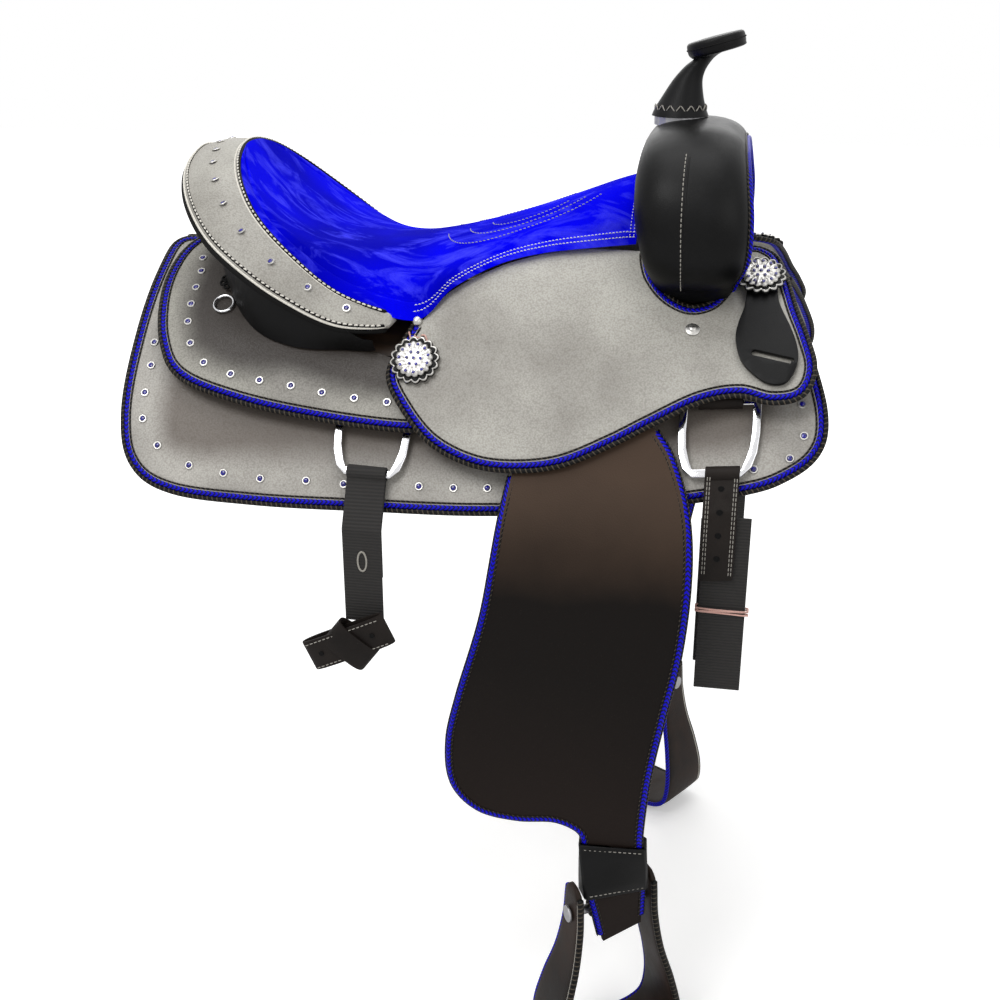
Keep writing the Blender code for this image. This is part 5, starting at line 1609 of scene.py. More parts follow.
def turned(name: str, centre: Vector, ahead: Vector, out: Vector, radius: float,
           profile: Sequence[tuple[float, float]], sides: int, waves: int = 0, depth: float = 0.0,
           swell: float = 0.0) -> bpy.types.Object:
    """Turn a profile about an axis, with scallops round its rim where asked.

    Args:
        name: Name of the piece.
        centre: Foot of the axis.
        ahead: Direction across the axis.
        out: Direction of the axis.
        radius: Largest radius.
        profile: Share of the radius and height, from the middle of the top to the middle of the foot.
        sides: Faces round it.
        waves: Number of scallops.
        depth: Depth of the scallops as a share of the radius.
        swell: Height that the scallops puff up.

    Returns:
        The piece.
    """
    across = out.cross(ahead).normalized()
    last = len(profile) - 1

    def spot(u: float, v: float) -> Vector:
        """Point of the turned skin.

        Args:
            u: Share round, 0 to 1.
            v: Share along, 0 to 1.

        Returns:
            The point.
        """
        share, height = profile[round(v * last)]
        angle = 2 * math.pi * u
        lobe = abs(math.sin(waves * angle / 2)) if waves else 1.0
        reach = radius * share * (1.0 - depth * (1.0 - lobe) * min(1.0, share * share * 1.4))
        lift = height + swell * lobe * (1.0 if 0.55 < share < 0.97 and height > 0 else 0.0)
        return centre + (ahead * math.cos(angle) + across * math.sin(angle)) * reach + out * lift

    return smooth(grid_form(name, sides, last, spot), 55.0)


CONCHOS = (("rear", -0.061, 0.160, 0.0), ("front", 0.271, 0.064, 0.0062))


@dataclass
class Concho:
    """Scalloped silver concho set with crystals, on a pleated leather rosette."""

    radius: float = 0.0195
    rosette: float = 0.0255
    scallops: int = 16
    leaf: tuple = ((0.0, 0.0052), (0.5, 0.0052), (0.72, 0.0052), (0.84, 0.0058), (0.92, 0.0056), (1.0, 0.0046),
                   (1.0, 0.0032), (0.92, 0.0026), (0.3, 0.0024), (0.0, 0.0024))
    rim: tuple = ((0.90, 0.0052), (0.94, 0.0061), (0.985, 0.0060), (1.0, 0.0050), (0.95, 0.0046), (0.90, 0.0052))
    face: tuple = ((0.0, 0.0106), (0.12, 0.0106), (0.20, 0.0100), (0.26, 0.0102), (0.40, 0.0104), (0.52, 0.0100),
                   (0.56, 0.0092), (0.60, 0.0094), (0.74, 0.0098), (0.88, 0.0092), (0.96, 0.0084), (1.0, 0.0072),
                   (0.98, 0.0062), (0.6, 0.0060), (0.0, 0.0060))
    crystal_rings: tuple = ((1, 0.0, 0.0, 0.0106), (6, 0.36, 0.0, 0.0104), (11, 0.76, 0.5, 0.0100))

    def build(self, name: str, x: float, down: float, lift: float) -> None:
        """Build the concho on both sides.

        Args:
            name: Front or rear.
            x: Place along the jockey.
            down: Place down the jockey.
            lift: Height of what lies under it.
        """
        centre = BACK.on(jockey_face, x, down, lift)
        ahead = (BACK.on(jockey_face, x + 0.005, down) - BACK.on(jockey_face, x - 0.005, down)).normalized()
        below = BACK.on(jockey_face, x, down + 0.005) - BACK.on(jockey_face, x, down - 0.005)
        out = ahead.cross(below).normalized()
        out = out if out.y > 0 else -out
        rosette = turned(f"{name}_rosette_leather", centre, ahead, out, self.rosette, self.leaf, 96, self.scallops,
                         0.13, 0.0008)
        both_sides(dress(rosette, BLACK), "saddle", [f"{name}_rosette_{{side}}"])
        rim = turned(f"{name}_rosette_rim", centre + out * 0.0004, ahead, out, self.rosette * 0.985, self.rim, 96,
                     self.scallops, 0.13, 0.0004)
        both_sides(dress(rim, SILVER), "saddle")
        plate = turned(f"{name}_concho_silver", centre, ahead, out, self.radius, self.face, 96, self.scallops, 0.10,
                       0.0007)
        both_sides(dress(plate, SILVER), "saddle", [f"{name}_concho_{{side}}"], "chrome")
        across = out.cross(ahead)
        spots = [(share, math.tau * (k + shift) / count, height)
                 for count, share, shift, height in self.crystal_rings for k in range(count)]
        places = [(centre + (ahead * math.cos(a) + across * math.sin(a)) * share * self.radius + out * height,
                   ahead, out) for share, a, height in spots]
        both_sides(dress(stamped(f"{name}_concho_crystals", stud_stamp(0.0019, 0.0016), places), SILVER, GEM), "saddle")


@dataclass
class Keeper:
    """Latigo keeper: a smooth black leaf with a slanted slot, hung from the front concho's screw."""

    thickness: float = 0.004
    clearance: float = 0.0022
    outline: tuple = (
        (0.258, 0.086), (0.257, 0.098), (0.252, 0.117), (0.251, 0.132), (0.257, 0.152), (0.269, 0.166),
        (0.284, 0.176), (0.298, 0.177), (0.306, 0.169), (0.3105, 0.155), (0.309, 0.141), (0.303, 0.123),
        (0.293, 0.100), (0.289, 0.085), (0.287, 0.060), (0.272, 0.046), (0.262, 0.052))
    slot: tuple[float, float, float, float, float] = (0.287, 0.151, 0.042, 0.0060, math.radians(16.0))

    def build(self) -> None:
        """Build the keeper on both sides."""
        x, down, length, height, tilt = self.slot
        run = (length - height) / 2
        hole = []
        for k in range(28):
            turn = math.tau * k / 28
            cosine, sine = math.cos(turn), math.sin(turn)
            flat = Vector((cosine * height / 2 + math.copysign(run, cosine), sine * height / 2))
            hole.append(Matrix.Rotation(tilt, 2) @ flat + Vector((x, down)))
        place = BACK.layer(self.under)
        leaf = panel("latigo_keeper_leather", [smooth_outline(self.outline), hole], self.thickness, place, edge=0.0012)
        both_sides(dress(leaf, BLACK), "latigo_keeper_{side}", ["latigo_keeper_{side}"], "black_leather")

    def under(self, x: float, down: float) -> float:
        """Inner face of the keeper over the back."""
        return jockey_face(x, down) + self.clearance


# Swell and horn


@dataclass
class Swell:
    """Smooth leather drawn over the fork, with a stitched dart on each swell and a corded gullet edge."""

    grow: float = 0.0046
    squareness: float = 2.6
    foot: float = 0.98
    dart: tuple[float, float] = (2.2, 97.0)
    dart_run: tuple[float, float] = (3.0, -6.0)
    stitch_shift: float = 2.2
    sections: tuple = (
        (0.207, 0.085, -0.012, 0.027, 0.012), (0.207, 0.090, 0.014, 0.031, 0.014), (0.206, 0.100, 0.036, 0.038, 0.019),
        (0.206, 0.119, 0.062, 0.047, 0.029), (0.203, 0.121, 0.092, 0.051, 0.034), (0.200, 0.106, 0.119, 0.050, 0.033),
        (0.199, 0.074, 0.137, 0.048, 0.029), (0.199, 0.038, 0.144, 0.047, 0.027), (0.199, 0.0, 0.146, 0.046, 0.027))

    def row(self, t: float) -> list[float]:
        """Size of the arch at a place along it: 0 and 16 are the feet, 8 the crown."""
        return blend([*self.sections, *((x, -a, u, le, d) for x, a, u, le, d in self.sections[-2::-1])], t)

    def place(self, t: float, angle: float, out: float) -> Vector:
        """Point of the arch's skin; angle 0 is ahead and 90 degrees is out.

        Args:
            t: Place, counted in rows.
            angle: Place round it, in degrees.
            out: How far out from the skin.

        Returns:
            The point.
        """
        x, across, up, length, depth = self.row(t)
        before, after = self.row(max(0.0, t - 0.05)), self.row(min(16.0, t + 0.05))
        along = Vector((after[1] - before[1], after[2] - before[2])).normalized()
        way = Vector((-along.y, along.x))
        power = 2.0 / self.squareness
        cosine, sine = math.cos(math.radians(angle)), math.sin(math.radians(angle))
        ahead = math.copysign(abs(cosine) ** power, cosine) * (length + self.grow + out)
        deep = math.copysign(abs(sine) ** power, sine) * (depth + self.grow + out)
        return Vector((x + ahead, across - way.x * deep, up - way.y * deep))

    def build(self) -> None:
        """Build the cover with its dart seams and its gullet cord."""
        def skin(u: float, v: float) -> Vector:
            """Point of the cover, closed at both feet."""
            t = self.foot + (16.0 - 2 * self.foot) * v
            return Vector(self.row(t)[:3]) if v in (0.0, 1.0) else self.place(t, 360.0 * u, 0.0)

        cover = dress(grid_form("swell_leather", 56, 96, skin), BLACK)
        settle(cover, "saddle", ["swell_cover"], "black_leather")
        for name, angle, lift, radius, sides, finish in (("braid", 12.0, 0.0004, 0.0030, 10, BLUE_BRAID),
                                                         ("lace", 20.0, 0.0002, 0.0012, 6, WHIP)):
            rail = Rail.laid(self.place, straight((1.35, angle), (13.3, 0.0), 120), lift)
            lay(f"gullet_edge_{name}", rail, radius, finish, sides=sides)
        dart = straight(self.dart, self.dart_run, 40)
        lay("swell_dart_seam", Rail.laid(self.place, dart, -0.0003), 0.0011, BLACK, sides=8, flat=0.6, pair=True)
        row = Rail.laid(self.place, [Vector((p.x, p.y + self.stitch_shift)) for p in dart], 0.0001)
        sew("swell_dart_stitches", row.stations(0.0048), GREY_THREAD, pair=True)


@dataclass
class Horn:
    """Horn cover in black leather with a flat tilted cap, sewn at the neck's foot and round the cap."""

    rings: tuple = (
        (0.180, 0.1780, 0.0290, 0), (0.180, 0.1850, 0.0262, 0), (0.182, 0.1980, 0.0205, 0), (0.186, 0.2140, 0.0150, 4),
        (0.194, 0.2270, 0.0126, 8), (0.204, 0.2360, 0.0140, 14), (0.2145, 0.2400, 0.0262, 15),
        (0.2135, 0.2440, 0.0290, 15), (0.2114, 0.2520, 0.0290, 15), (0.2107, 0.2545, 0.0262, 15))

    def place(self, t: float, angle: float, out: float) -> Vector:
        """Point of the horn's skin; t counts the rings.

        Args:
            t: Place, counted in rows.
            angle: Place round it, in degrees.
            out: How far out from the skin.

        Returns:
            The point.
        """
        x, z, radius, tilt = blend(self.rings, t)
        turn = Matrix.Rotation(math.radians(-tilt), 3, "Y")
        reach = radius + out
        angle = math.radians(angle)
        return Vector((x, 0.0, z)) + turn @ Vector((reach * math.cos(angle), reach * math.sin(angle), 0.0))

    def build(self) -> None:
        """Build the cover and its stitches."""
        last = len(self.rings) - 1

        def skin(u: float, v: float) -> Vector:
            """Point of the cover, closed below and on the cap.

            Args:
                u: Share round, 0 to 1.
                v: Share along, 0 to 1.

            Returns:
                The point.
            """
            t = min(last, max(0.0, (v - 0.02) / 0.92 * last))
            reach = 1.0 if 0.02 <= v <= 0.945 else (0.0 if v < 0.02 else max(0.0, (1.0 - v) / 0.055))
            centre = (self.place(t, 0.0, 0.0) + self.place(t, 180.0, 0.0)) / 2
            lift = Vector((-0.26, 0.0, 0.97)) * (0.0008 * (1.0 - reach * reach) if v > 0.9 else 0.0)
            return centre.lerp(self.place(t, 360.0 * u, 0.0), reach) + lift

        settle(dress(grid_form("horn_leather", 40, 60, skin), BLACK), "saddle", ["horn_cover"], "black_leather")
        foot = Rail.laid(self.place, [Vector((1.15, 6.0 * k)) for k in range(60)], 0.0004, closed=True)
        sew("horn_foot_stitches", foot.stations(0.0052), GREY_THREAD, (0.0075, 0.0012), turn=math.radians(52))
        rim = Rail.laid(self.place, [Vector((7.5, 6.0 * k)) for k in range(60)], 0.0001, closed=True)
        lay("horn_cap_seam", rim, 0.0008, EDGE, sides=6)
        sew("horn_cap_stitches", rim.stations(0.0046), GREY_THREAD, (0.003, 0.0008))


# Cantle and seat


@dataclass
class Cantle:
    """Roll on the cantle's crest with its stitches, studs and welt, and the leather down its back."""

    widths: tuple = ((0, 0.060), (15, 0.062), (30, 0.058), (45, 0.051), (60, 0.041), (75, 0.024), (84, 0.012),
                     (88, 0.006))
    drops: tuple = ((0, 0.008), (15, 0.016), (30, 0.022), (45, 0.029), (60, 0.033), (75, 0.028), (84, 0.018),
                    (88, 0.010))
    crowns: tuple = ((0, 0.004), (15, 0.006), (30, 0.008), (45, 0.007), (60, 0.005), (84, 0.002))
    start: float = 0.0008
    thickness: float = 0.008
    clearance: float = 0.0030
    end: float = 88.0
    top_in: tuple = ((0, 0.016), (34, 0.012), (62, 0.006))
    top_widths: tuple = ((0, 0.024), (48, 0.022), (62, 0.018), (76, 0.008))
    arch: tuple = ((0, 0.042), (12, 0.039), (20, 0.029), (26, -1.0))
    back_end: float = 84.0
    back_flare: float = 0.009
    back_thickness: float = 0.003
    bulge: float = 0.0012
    stud_angles: tuple = (4.3, 12.0, 20.0, 28.5, 37.5, 47.0, 57.5, 68.0, 78.0)
    stud_shares: tuple = ((0, 0.56), (12, 0.46), (30, 0.45), (58, 0.50), (70, 0.42))

    def height(self, turn: float, place: float) -> float:
        """Height of the roll's top over the crest, at a distance out from it."""
        width, drop, crown = (eased(turn, table, True) for table in (self.widths, self.drops, self.crowns))
        return eased(place, ((self.start, 0.0), (width / 2, crown - drop / 2), (width, -drop)))

    def roll(self, angle: float, share: float, out: float) -> Vector:
        """Point of the roll's top, from the crest at share 0 to its outer edge at 1.

        Args:
            angle: Place on the crest, in degrees.
            share: Share of its width, from the crest out.
            out: How far out from the top.

        Returns:
            The point.
        """
        turn = abs(angle)
        width, drop = eased(turn, self.widths, True), eased(turn, self.drops, True)
        place = self.start + (width - self.start) * share
        steep = math.atan2(drop, width)
        return CREST.section(angle, place + out * math.sin(steep), self.height(turn, place) + out * math.cos(steep))

    def build(self) -> None:
        """Build the roll, its trim and the back."""
        def skin(u: float, v: float) -> Vector:
            """Point of the roll's skin, closed at both ends.

            Args:
                u: Share round, 0 to 1.
                v: Share along, 0 to 1.

            Returns:
                The point.
            """
            angle = self.end * (2 * v - 1)
            top = u <= 0.5
            share = 2 * u if top else 2 - 2 * u
            near_rim = max(0.0, (abs(2 * share - 1) - 0.86) / 0.14)
            drop = self.thickness / 2 * (1 - math.sqrt(max(0.0, 1 - near_rim ** 2)))
            depth = drop if top else self.thickness - drop
            if v in (0.0, 1.0):
                share, depth = 0.5, self.thickness / 2
            return self.roll(angle, share, -depth)

        roll = dress(grid_form("cantle_roll_leather", 48, 140, skin), SEAT_GREY)
        settle(roll, "saddle", ["cantle_roll"], "grey_leather")
        span = [self.end * (k / 60 - 1) for k in range(121)]
        cords = (("roll_welt", 1.0, -0.0066, 0.0036, EDGE), ("roll_stitch_strip", 0.905, -0.0015, 0.0022, EDGE),
                 ("roll_edge_cord", 0.975, -0.0012, 0.0012, THREAD), ("roll_seat_seam", 0.02, -0.0008, 0.0022, EDGE),
                 ("roll_seat_line", 0.085, -0.0006, 0.0009, THREAD))
        for name, share, lift, radius, finish in cords:
            lay(name, Rail.laid(self.roll, [Vector((a, share)) for a in span[1:-1]], lift), radius, finish, sides=8)
        for name, share, lift in (("outer", 0.905, 0.0008), ("inner", 0.02, 0.0014)):
            rail = Rail.laid(self.roll, [Vector((a, share)) for a in span[2:-2]], lift)
            sew(f"roll_stitches_{name}", rail.stations(0.0056), THREAD, (0.0044, 0.0018))
        places = []
        for angle in [-a for a in self.stud_angles[::-1]] + list(self.stud_angles):
            share = ramp(abs(angle), self.stud_shares)
            point = self.roll(angle, share, 0.0)
            places.append((point, (self.roll(angle + 1, share, 0.0) - point).normalized(),
                           (self.roll(angle, share, 0.002) - point).normalized()))
        settle(dress(stamped("roll_studs", stud_stamp(), places), SILVER, GEM), "saddle")
        self.back()

    def back(self) -> None:
        """Build the leather down the back of the cantle."""
        under = self.thickness + self.clearance

        def skin(u: float, v: float) -> Vector:
            """Point of the back's skin, down its outer face and up its inner one, closed at both ends.

            Args:
                u: Share round, 0 to 1.
                v: Share along, 0 to 1.

            Returns:
                The point.
            """
            angle = self.back_end * (2 * v - 1)
            turn = abs(angle)
            near = ramp(turn, self.top_in) + ramp(turn, self.top_widths) + 0.001
            low = CREST.foot(turn) + self.back_flare
            rest = max(ramp(turn, self.arch) - CREST.point(angle).z, CREST.over_jockey(angle, low),
                       CREST.over_jockey(angle, low + self.back_thickness))
            share = max(0.0, min(1.0, u / 0.46 if u <= 0.46 else (0.96 - u) / 0.46))
            outer = 0.5 if v in (0.0, 1.0) else float(u <= 0.46 or u > 0.98)
            top = self.height(turn, near) - under
            out = near + (low - near) * share + self.back_thickness * outer
            return CREST.section(angle, out + self.bulge * math.sin(math.pi * share), top + (rest - top) * share)

        piece = dress(grid_form("cantle_back_leather", 50, 90, skin), BLACK)
        settle(piece, "saddle", ["cantle_back"], "black_leather")


@dataclass
class Seat:
    """Padded suede seat with a groove inside its edge, double-stitched borders and sewn arcs."""

    angles: tuple = (8, 20, 34, 48, 62, 76, 90)
    middle: tuple = ((-0.2798, 0.1457), (-0.258, 0.116), (-0.224, 0.080), (-0.186, 0.056), (-0.146, 0.047),
                     (-0.104, 0.047), (-0.066, 0.053), (-0.020, 0.063), (0.030, 0.078), (0.078, 0.095),
                     (0.118, 0.110), (0.146, 0.119))
    front_edge: tuple = ((-0.030, 0.096), (0.012, 0.073), (0.056, 0.062), (0.102, 0.054), (0.146, 0.041))
    bowl: float = 2.2
    thickness: float = 0.0115
    rim: float = 0.005
    puff: float = 0.0024
    groove: float = 0.885
    groove_width: float = 0.022
    groove_depth: float = 0.0018
    stitch: tuple[float, float] = (0.0026, 0.0010)
    pitch: float = 0.0036
    top_share: float = 0.70
    arc_middle: tuple[float, float] = (8.1, 0.14)
    arc_reach: float = 1.9
    arc_width: float = 0.50
    rows: list = field(default_factory=list)

    def __post_init__(self) -> None:
        """Find the seat's edge and middle points."""
        edges = [CREST.point(angle) for angle in self.angles]
        edges += [BACK.on(jockey_face, x, down, 0.009) for x, down in self.front_edge]
        self.rows = [(edge, Vector((x, 0.0, z))) for edge, (x, z) in zip(edges, self.middle)]

    def place(self, t: float, v: float, out: float) -> Vector:
        """Point of the seat's top: t counts the stations, v runs from -1 to 1 across.

        Args:
            t: Place, counted in rows.
            v: Place across, -1 to 1.
            out: How far out from the skin.

        Returns:
            The point.
        """
        edge, middle = (sum((row[k] * share for row, share in around(self.rows, t)), Vector()) for k in (0, 1))
        rise = abs(v) ** self.bowl
        return Vector((middle.x + (edge.x - middle.x) * v * v, edge.y * v, middle.z + (edge.z - middle.z) * rise + out))

    def pad(self, t: float, v: float) -> float:
        """Height that the padding stands above the plain top.

        Args:
            t: Place, counted in rows.
            v: Place across, -1 to 1.

        Returns:
            Height of the padding.
        """
        last = len(self.rows) - 1
        ends = min(1.0, t / 0.5, (last - t) / 0.35)
        dip = math.exp(-((abs(v) - self.groove) / self.groove_width) ** 2)
        lie = 1.0 - max(0.0, abs(v) - 0.90) / 0.10
        return (self.puff * (1.0 - dip) * max(0.0, lie) - self.groove_depth * dip) * max(0.0, ends)

    def build(self) -> None:
        """Build the pad and its sewing."""
        last = len(self.rows) - 1

        def skin(u: float, w: float) -> Vector:
            """Point of the pad's skin, closed at the cantle and at the fork.

            Args:
                u: Share round, 0 to 1.
                w: Share along, 0 to 1.

            Returns:
                The point.
            """
            t = last * min(1.0, max(0.0, (w - 0.02) / 0.96))
            top = u <= self.top_share
            v = 2 * u / self.top_share - 1 if top else 1 - 2 * (u - self.top_share) / 0.30
            near_rim = max(0.0, (abs(v) - 0.95) / 0.05)
            wall = self.rim + (self.thickness - self.rim) * min(1.0, (1.0 - abs(v)) / 0.24)
            fold = wall / 2 * (1 - math.sqrt(max(0.0, 1 - near_rim ** 2)))
            out = self.pad(t, v) - fold if top else -wall + fold
            if w in (0.0, 1.0):
                out = -wall / 2
            return self.place(t, v, out)

        pad = dress(grid_form("seat_suede", 150, 170, skin), SUEDE)
        smooth(pad, 180.0)
        settle(pad, "saddle", ["seat"], "suede")
        for name, share in (("outer", 0.965), ("inner", 0.928)):
            rail = Rail.laid(self.face, straight((6.0, share), (last - 6.10, 0.0), 160))
            sew(f"seat_stitches_{name}", rail.stations(self.pitch), THREAD, self.stitch, pair=True)
        for name, back in (("outer", 0.10), ("inner", 0.22)):
            rail = Rail.laid(self.face, straight((last - back, 0.95), (0.0, -1.9), 40))
            sew(f"seat_front_stitches_{name}", rail.stations(self.pitch), THREAD, self.stitch)
        self.arcs()

    def face(self, t: float, v: float, out: float) -> Vector:
        """Point on the padded top."""
        return self.place(t, v, self.pad(t, v) + out)

    def arcs(self) -> None:
        """Sew three plain nested arcs on each half of the seat."""
        stations = []
        t, v = self.arc_middle
        for k in range(3):
            reach, wide = self.arc_reach - 0.5 * k, self.arc_width - 0.12 * k
            track = [Vector((t - reach * math.cos(a), v + wide * math.sin(a))) for a in np.linspace(0.15, 2.6, 60)]
            stations += Rail.laid(self.face, track).stations(0.0044)
        sew("seat_sewn_arcs", stations, GREY_THREAD, (0.0032, 0.0010), pair=True)


# Rigging and billets


def dee_bar(x: float, down: float) -> Vector:
    """Centre of a dee's bar over the skirt."""
    return BACK.on(level(0.0250), x, down)


@dataclass
class Rigging:
    """Rigging leathers, dees and string rings, with the knot over each string ring."""

    string_ring: tuple[float, float] = (-0.276, 0.106)
    knot_rise: float = 0.017
    knot_loops: int = 7

    def build(self) -> None:
        """Build the rigging on both sides."""
        refined("rigging", "rigging_leather", BILLET, "saddle", 0.0007, slot="brown_leather")
        refined("front_dee", "front_dee_steel", CHROME, "front_dee_{side}", 0.0013, 3, "chrome")
        refined("rear_dee", "rear_dee_steel", CHROME, "rear_dee_{side}", 0.0013, 3, "chrome")
        refined("string_dee", "string_ring", CHROME, "string_dee_{side}", 0.0003, 1, "chrome")
        self.knot()

    def knot(self) -> None:
        """Tie a small knot of black strings above the ring."""
        x, down = self.string_ring
        place = BACK.layer(rear_jockey_face)
        centre = place(x, down - self.knot_rise, 0.0045)
        out = (place(x, down - self.knot_rise, 0.01) - centre).normalized()
        ahead = Vector((1.0, 0.0, 0.0))
        across = out.cross(ahead).normalized()
        loops = []
        for k in range(self.knot_loops):
            turn = math.tau * k / self.knot_loops
            way = ahead * math.cos(turn) + across * math.sin(turn)
            side = out.cross(way)
            track = [centre + way * (0.0055 + 0.0050 * math.cos(a)) + side * 0.0036 * math.sin(a)
                     + out * (0.0016 * math.sin(a / 2)) for a in np.linspace(0, math.tau, 24, endpoint=False)]
            loops.append(cord(f"string_knot_{k}", Rail.ring(track, out), 0.0014, 6))
        heart = turned("string_knot_heart", centre - out * 0.001, ahead, out, 0.0045,
                       [(0.0, 0.0045), (0.5, 0.0040), (0.9, 0.0022), (1.0, 0.0), (0.0, 0.0)], 14)
        knot = joined(loops + [heart])
        knot.name = "string_knot"
        both_sides(dress(knot, EDGE), "saddle")


@dataclass
class Billets:
    """Flank billet with its folded end, and the off billet of punched leather on ribbed webbing."""

    ply: float = 0.0024
    bore: float = 0.0061
    step: float = 0.0022
    skirt_edge: tuple = ((-0.30, 0.312), (0.0, 0.300), (0.30, 0.268))
    rear_x: float = -0.101
    rear_dee_down: float = 0.262
    rear_end: float = -0.300
    rear_width: float = 0.040
    fold_length: float = 0.094
    fold_centre: tuple[float, float] = (-0.115, -0.318)
    fold_tilt: float = math.radians(-25.0)
    front_x: float = 0.247
    front_dee_down: float = 0.250
    front_end: float = -0.232
    front_width: float = 0.0325
    front_stitch_rows: tuple = (-0.0134, -0.0110, 0.0118, 0.0142)
    web_shift: float = 0.008
    tie_heights: tuple = (-0.263, -0.2655, -0.268)

    def slope(self, x: float) -> float:
        """Slope of the spine line about a place."""
        return (BACK.on(level(0.0), x + 0.02, 0.0) - BACK.on(level(0.0), x - 0.02, 0.0)).z / 0.04

    def below_skirt(self, x: float) -> Vector:
        """Where a strap clears the skirt's lower edge."""
        return dee_bar(x, ramp(x, self.skirt_edge) + 0.012)

    def line(self, x: float, dee_down: float, end: float) -> Rail:
        """Middle line of a strap folded round its dee, both plies hanging plumb below the skirt.

        Args:
            x: Place along the back.
            dee_down: Where the dee's bar is, down the side.
            end: Height of its lower end.

        Returns:
            The rail.
        """
        start, turn = dee_bar(x, dee_down), self.below_skirt(x)
        half = self.ply / 2 + 0.00005
        along = Vector((turn.y - start.y, turn.z - start.z)).normalized()
        side = Vector((-along.y, along.x))
        side = side if side.x > 0 else -side
        points = [Vector((turn.y - half, end + 0.05)), Vector((turn.y - half, (turn.z + end) / 2)),
                  Vector((turn.y - half, turn.z))]
        heading = math.atan2(along.y, along.x)
        opening = math.asin(min(0.9, half / self.bore))
        middle = Vector((start.y, start.z))
        for k in range(17):
            angle = heading - opening - (math.tau - 2 * opening) * k / 16
            points.append(middle + Vector((math.cos(angle), math.sin(angle))) * self.bore)
        points += [Vector((turn.y + half, turn.z)), Vector((turn.y + half, (turn.z + end) / 2)),
                   Vector((turn.y + half, end))]
        full = [Vector((x, p.x, p.y)) for p in points]
        runs = walked(full)
        spots = read_off(full, runs, np.linspace(0.0, runs[-1], round(runs[-1] / self.step)))
        outs = []
        for k in range(len(spots)):
            ahead = (spots[min(len(spots) - 1, k + 1)] - spots[max(0, k - 1)]).normalized()
            outs.append(Vector((0.0, -ahead.z, ahead.y)))
        return Rail(spots, outs)

    def lean(self, obj: bpy.types.Object, x: float) -> bpy.types.Object:
        """Lean a strap along the spine's slope, as its dee leans.

        Args:
            obj: The piece.
            x: Place that stays at its height.

        Returns:
            The piece.
        """
        slope = self.slope(x)
        for vert in obj.data.vertices:
            vert.co.z += slope * (vert.co.x - x)
        return obj

    def build(self) -> None:
        """Build both billets on both sides."""
        self.rear()
        self.front()

    def rear(self) -> None:
        """Build the flank billet: strap, keeper loop and folded end."""
        x = self.rear_x
        rail = self.line(x, self.rear_dee_down, self.rear_end)
        flank = self.lean(strap("rear_billet_strap", rail, self.rear_width, self.ply), x)
        both_sides(dress(flank, WEB), "rear_billet_{side}", ["rear_billet_{side}"], "black_leather")
        face = self.below_skirt(x).y + self.ply
        self.oval(x, face)
        turn = Matrix.Rotation(self.fold_tilt, 3, "Y")
        centre = Vector((self.fold_centre[0], face + 0.0125, self.fold_centre[1]))
        bands = []
        for name, length, deep, width, tilt, shift in (("long", self.fold_length, 0.015, 0.033, 0.0, 0.0),
                                                       ("cross", 0.052, 0.021, 0.030, 62.0, 0.004)):
            way = turn @ Matrix.Rotation(math.radians(tilt), 3, "Y")
            track, outs = [], []
            for k in range(64):
                a = math.tau * k / 64
                flat = Vector((math.copysign(abs(math.cos(a)) ** 0.55, math.cos(a)) * (length / 2 - 0.0015),
                               math.copysign(abs(math.sin(a)) ** 0.8, math.sin(a)) * (deep / 2 - 0.0012), 0.0))
                track.append(centre + way @ (flat + Vector((shift, 0.0, 0.0))))
            for k in range(64):
                ahead = (track[(k + 1) % 64] - track[k - 1]).normalized()
                outs.append(ahead.cross(way @ Vector((0.0, 0.0, 1.0))).normalized() * -1.0)
            rail = Rail(track + [track[0]], outs + [outs[0]], True)
            bands.append(self.band(f"billet_end_{name}", rail, width))
        fold = joined(bands)
        fold.name = "rear_billet_fold"
        both_sides(dress(fold, BILLET), "rear_billet_{side}")
        way, out = turn @ Vector((1, 0, 0)), Vector((0, 1, 0))
        holes = [(centre + turn @ Vector((k * 0.026, 0.0078, 0.0)), way, out) for k in (-1.15, 0.0, 1.15)]
        stitches = [(centre + turn @ Vector((-0.040 + 0.005 * k, 0.0076, row)), way, out)
                    for row in (-0.0135, 0.0135) for k in range(17)]
        both_sides(dress(stamped("rear_billet_holes", hole_stamp(0.0022), holes), EDGE), "rear_billet_{side}")
        sew("rear_billet_stitches", stitches, GREY_THREAD, body="rear_billet_{side}", pair=True)

    def band(self, name: str, rail: Rail, width: float) -> bpy.types.Object:
        """Close a flat band round a loop.

        Args:
            name: Name of the piece.
            rail: Line that it follows.
            width: Width of the band.

        Returns:
            The band.
        """
        last = len(rail.points) - 1
        ring = [(1, 0.8), (0.9, 1), (-0.9, 1), (-1, 0.8), (-1, -0.8), (-0.9, -1), (0.9, -1), (1, -0.8)]

        def spot(u: float, v: float) -> Vector:
            """Point of the band's skin.

            Args:
                u: Share round, 0 to 1.
                v: Share along, 0 to 1.

            Returns:
                The point.
            """
            index = round(v * last)
            a, b = ring[round(u * 8) % 8]
            beside = rail.along(index).cross(rail.outs[index]).normalized()
            return rail.points[index] + beside * (a * width / 2) + rail.outs[index] * (b * self.ply / 2)

        return smooth(grid_form(name, 8, last, spot), 40.0)

    def oval(self, x: float, face: float) -> None:
        """Set the oval slot with its pale rim in the flank billet.

        Args:
            x: Place of the billet along the back.
            face: Place across of the billet's outer face.
        """
        track = [Vector((x + 0.0045 * math.cos(a), face + 0.0002, -0.2335 + 0.0105 * math.sin(a)))
                 for a in np.linspace(0, math.tau, 32, endpoint=False)]
        lay("rear_billet_slot_rim", Rail.ring(track, Vector((0, 1, 0))), 0.0010, GREY_THREAD, "rear_billet_{side}", 6,
            pair=True)

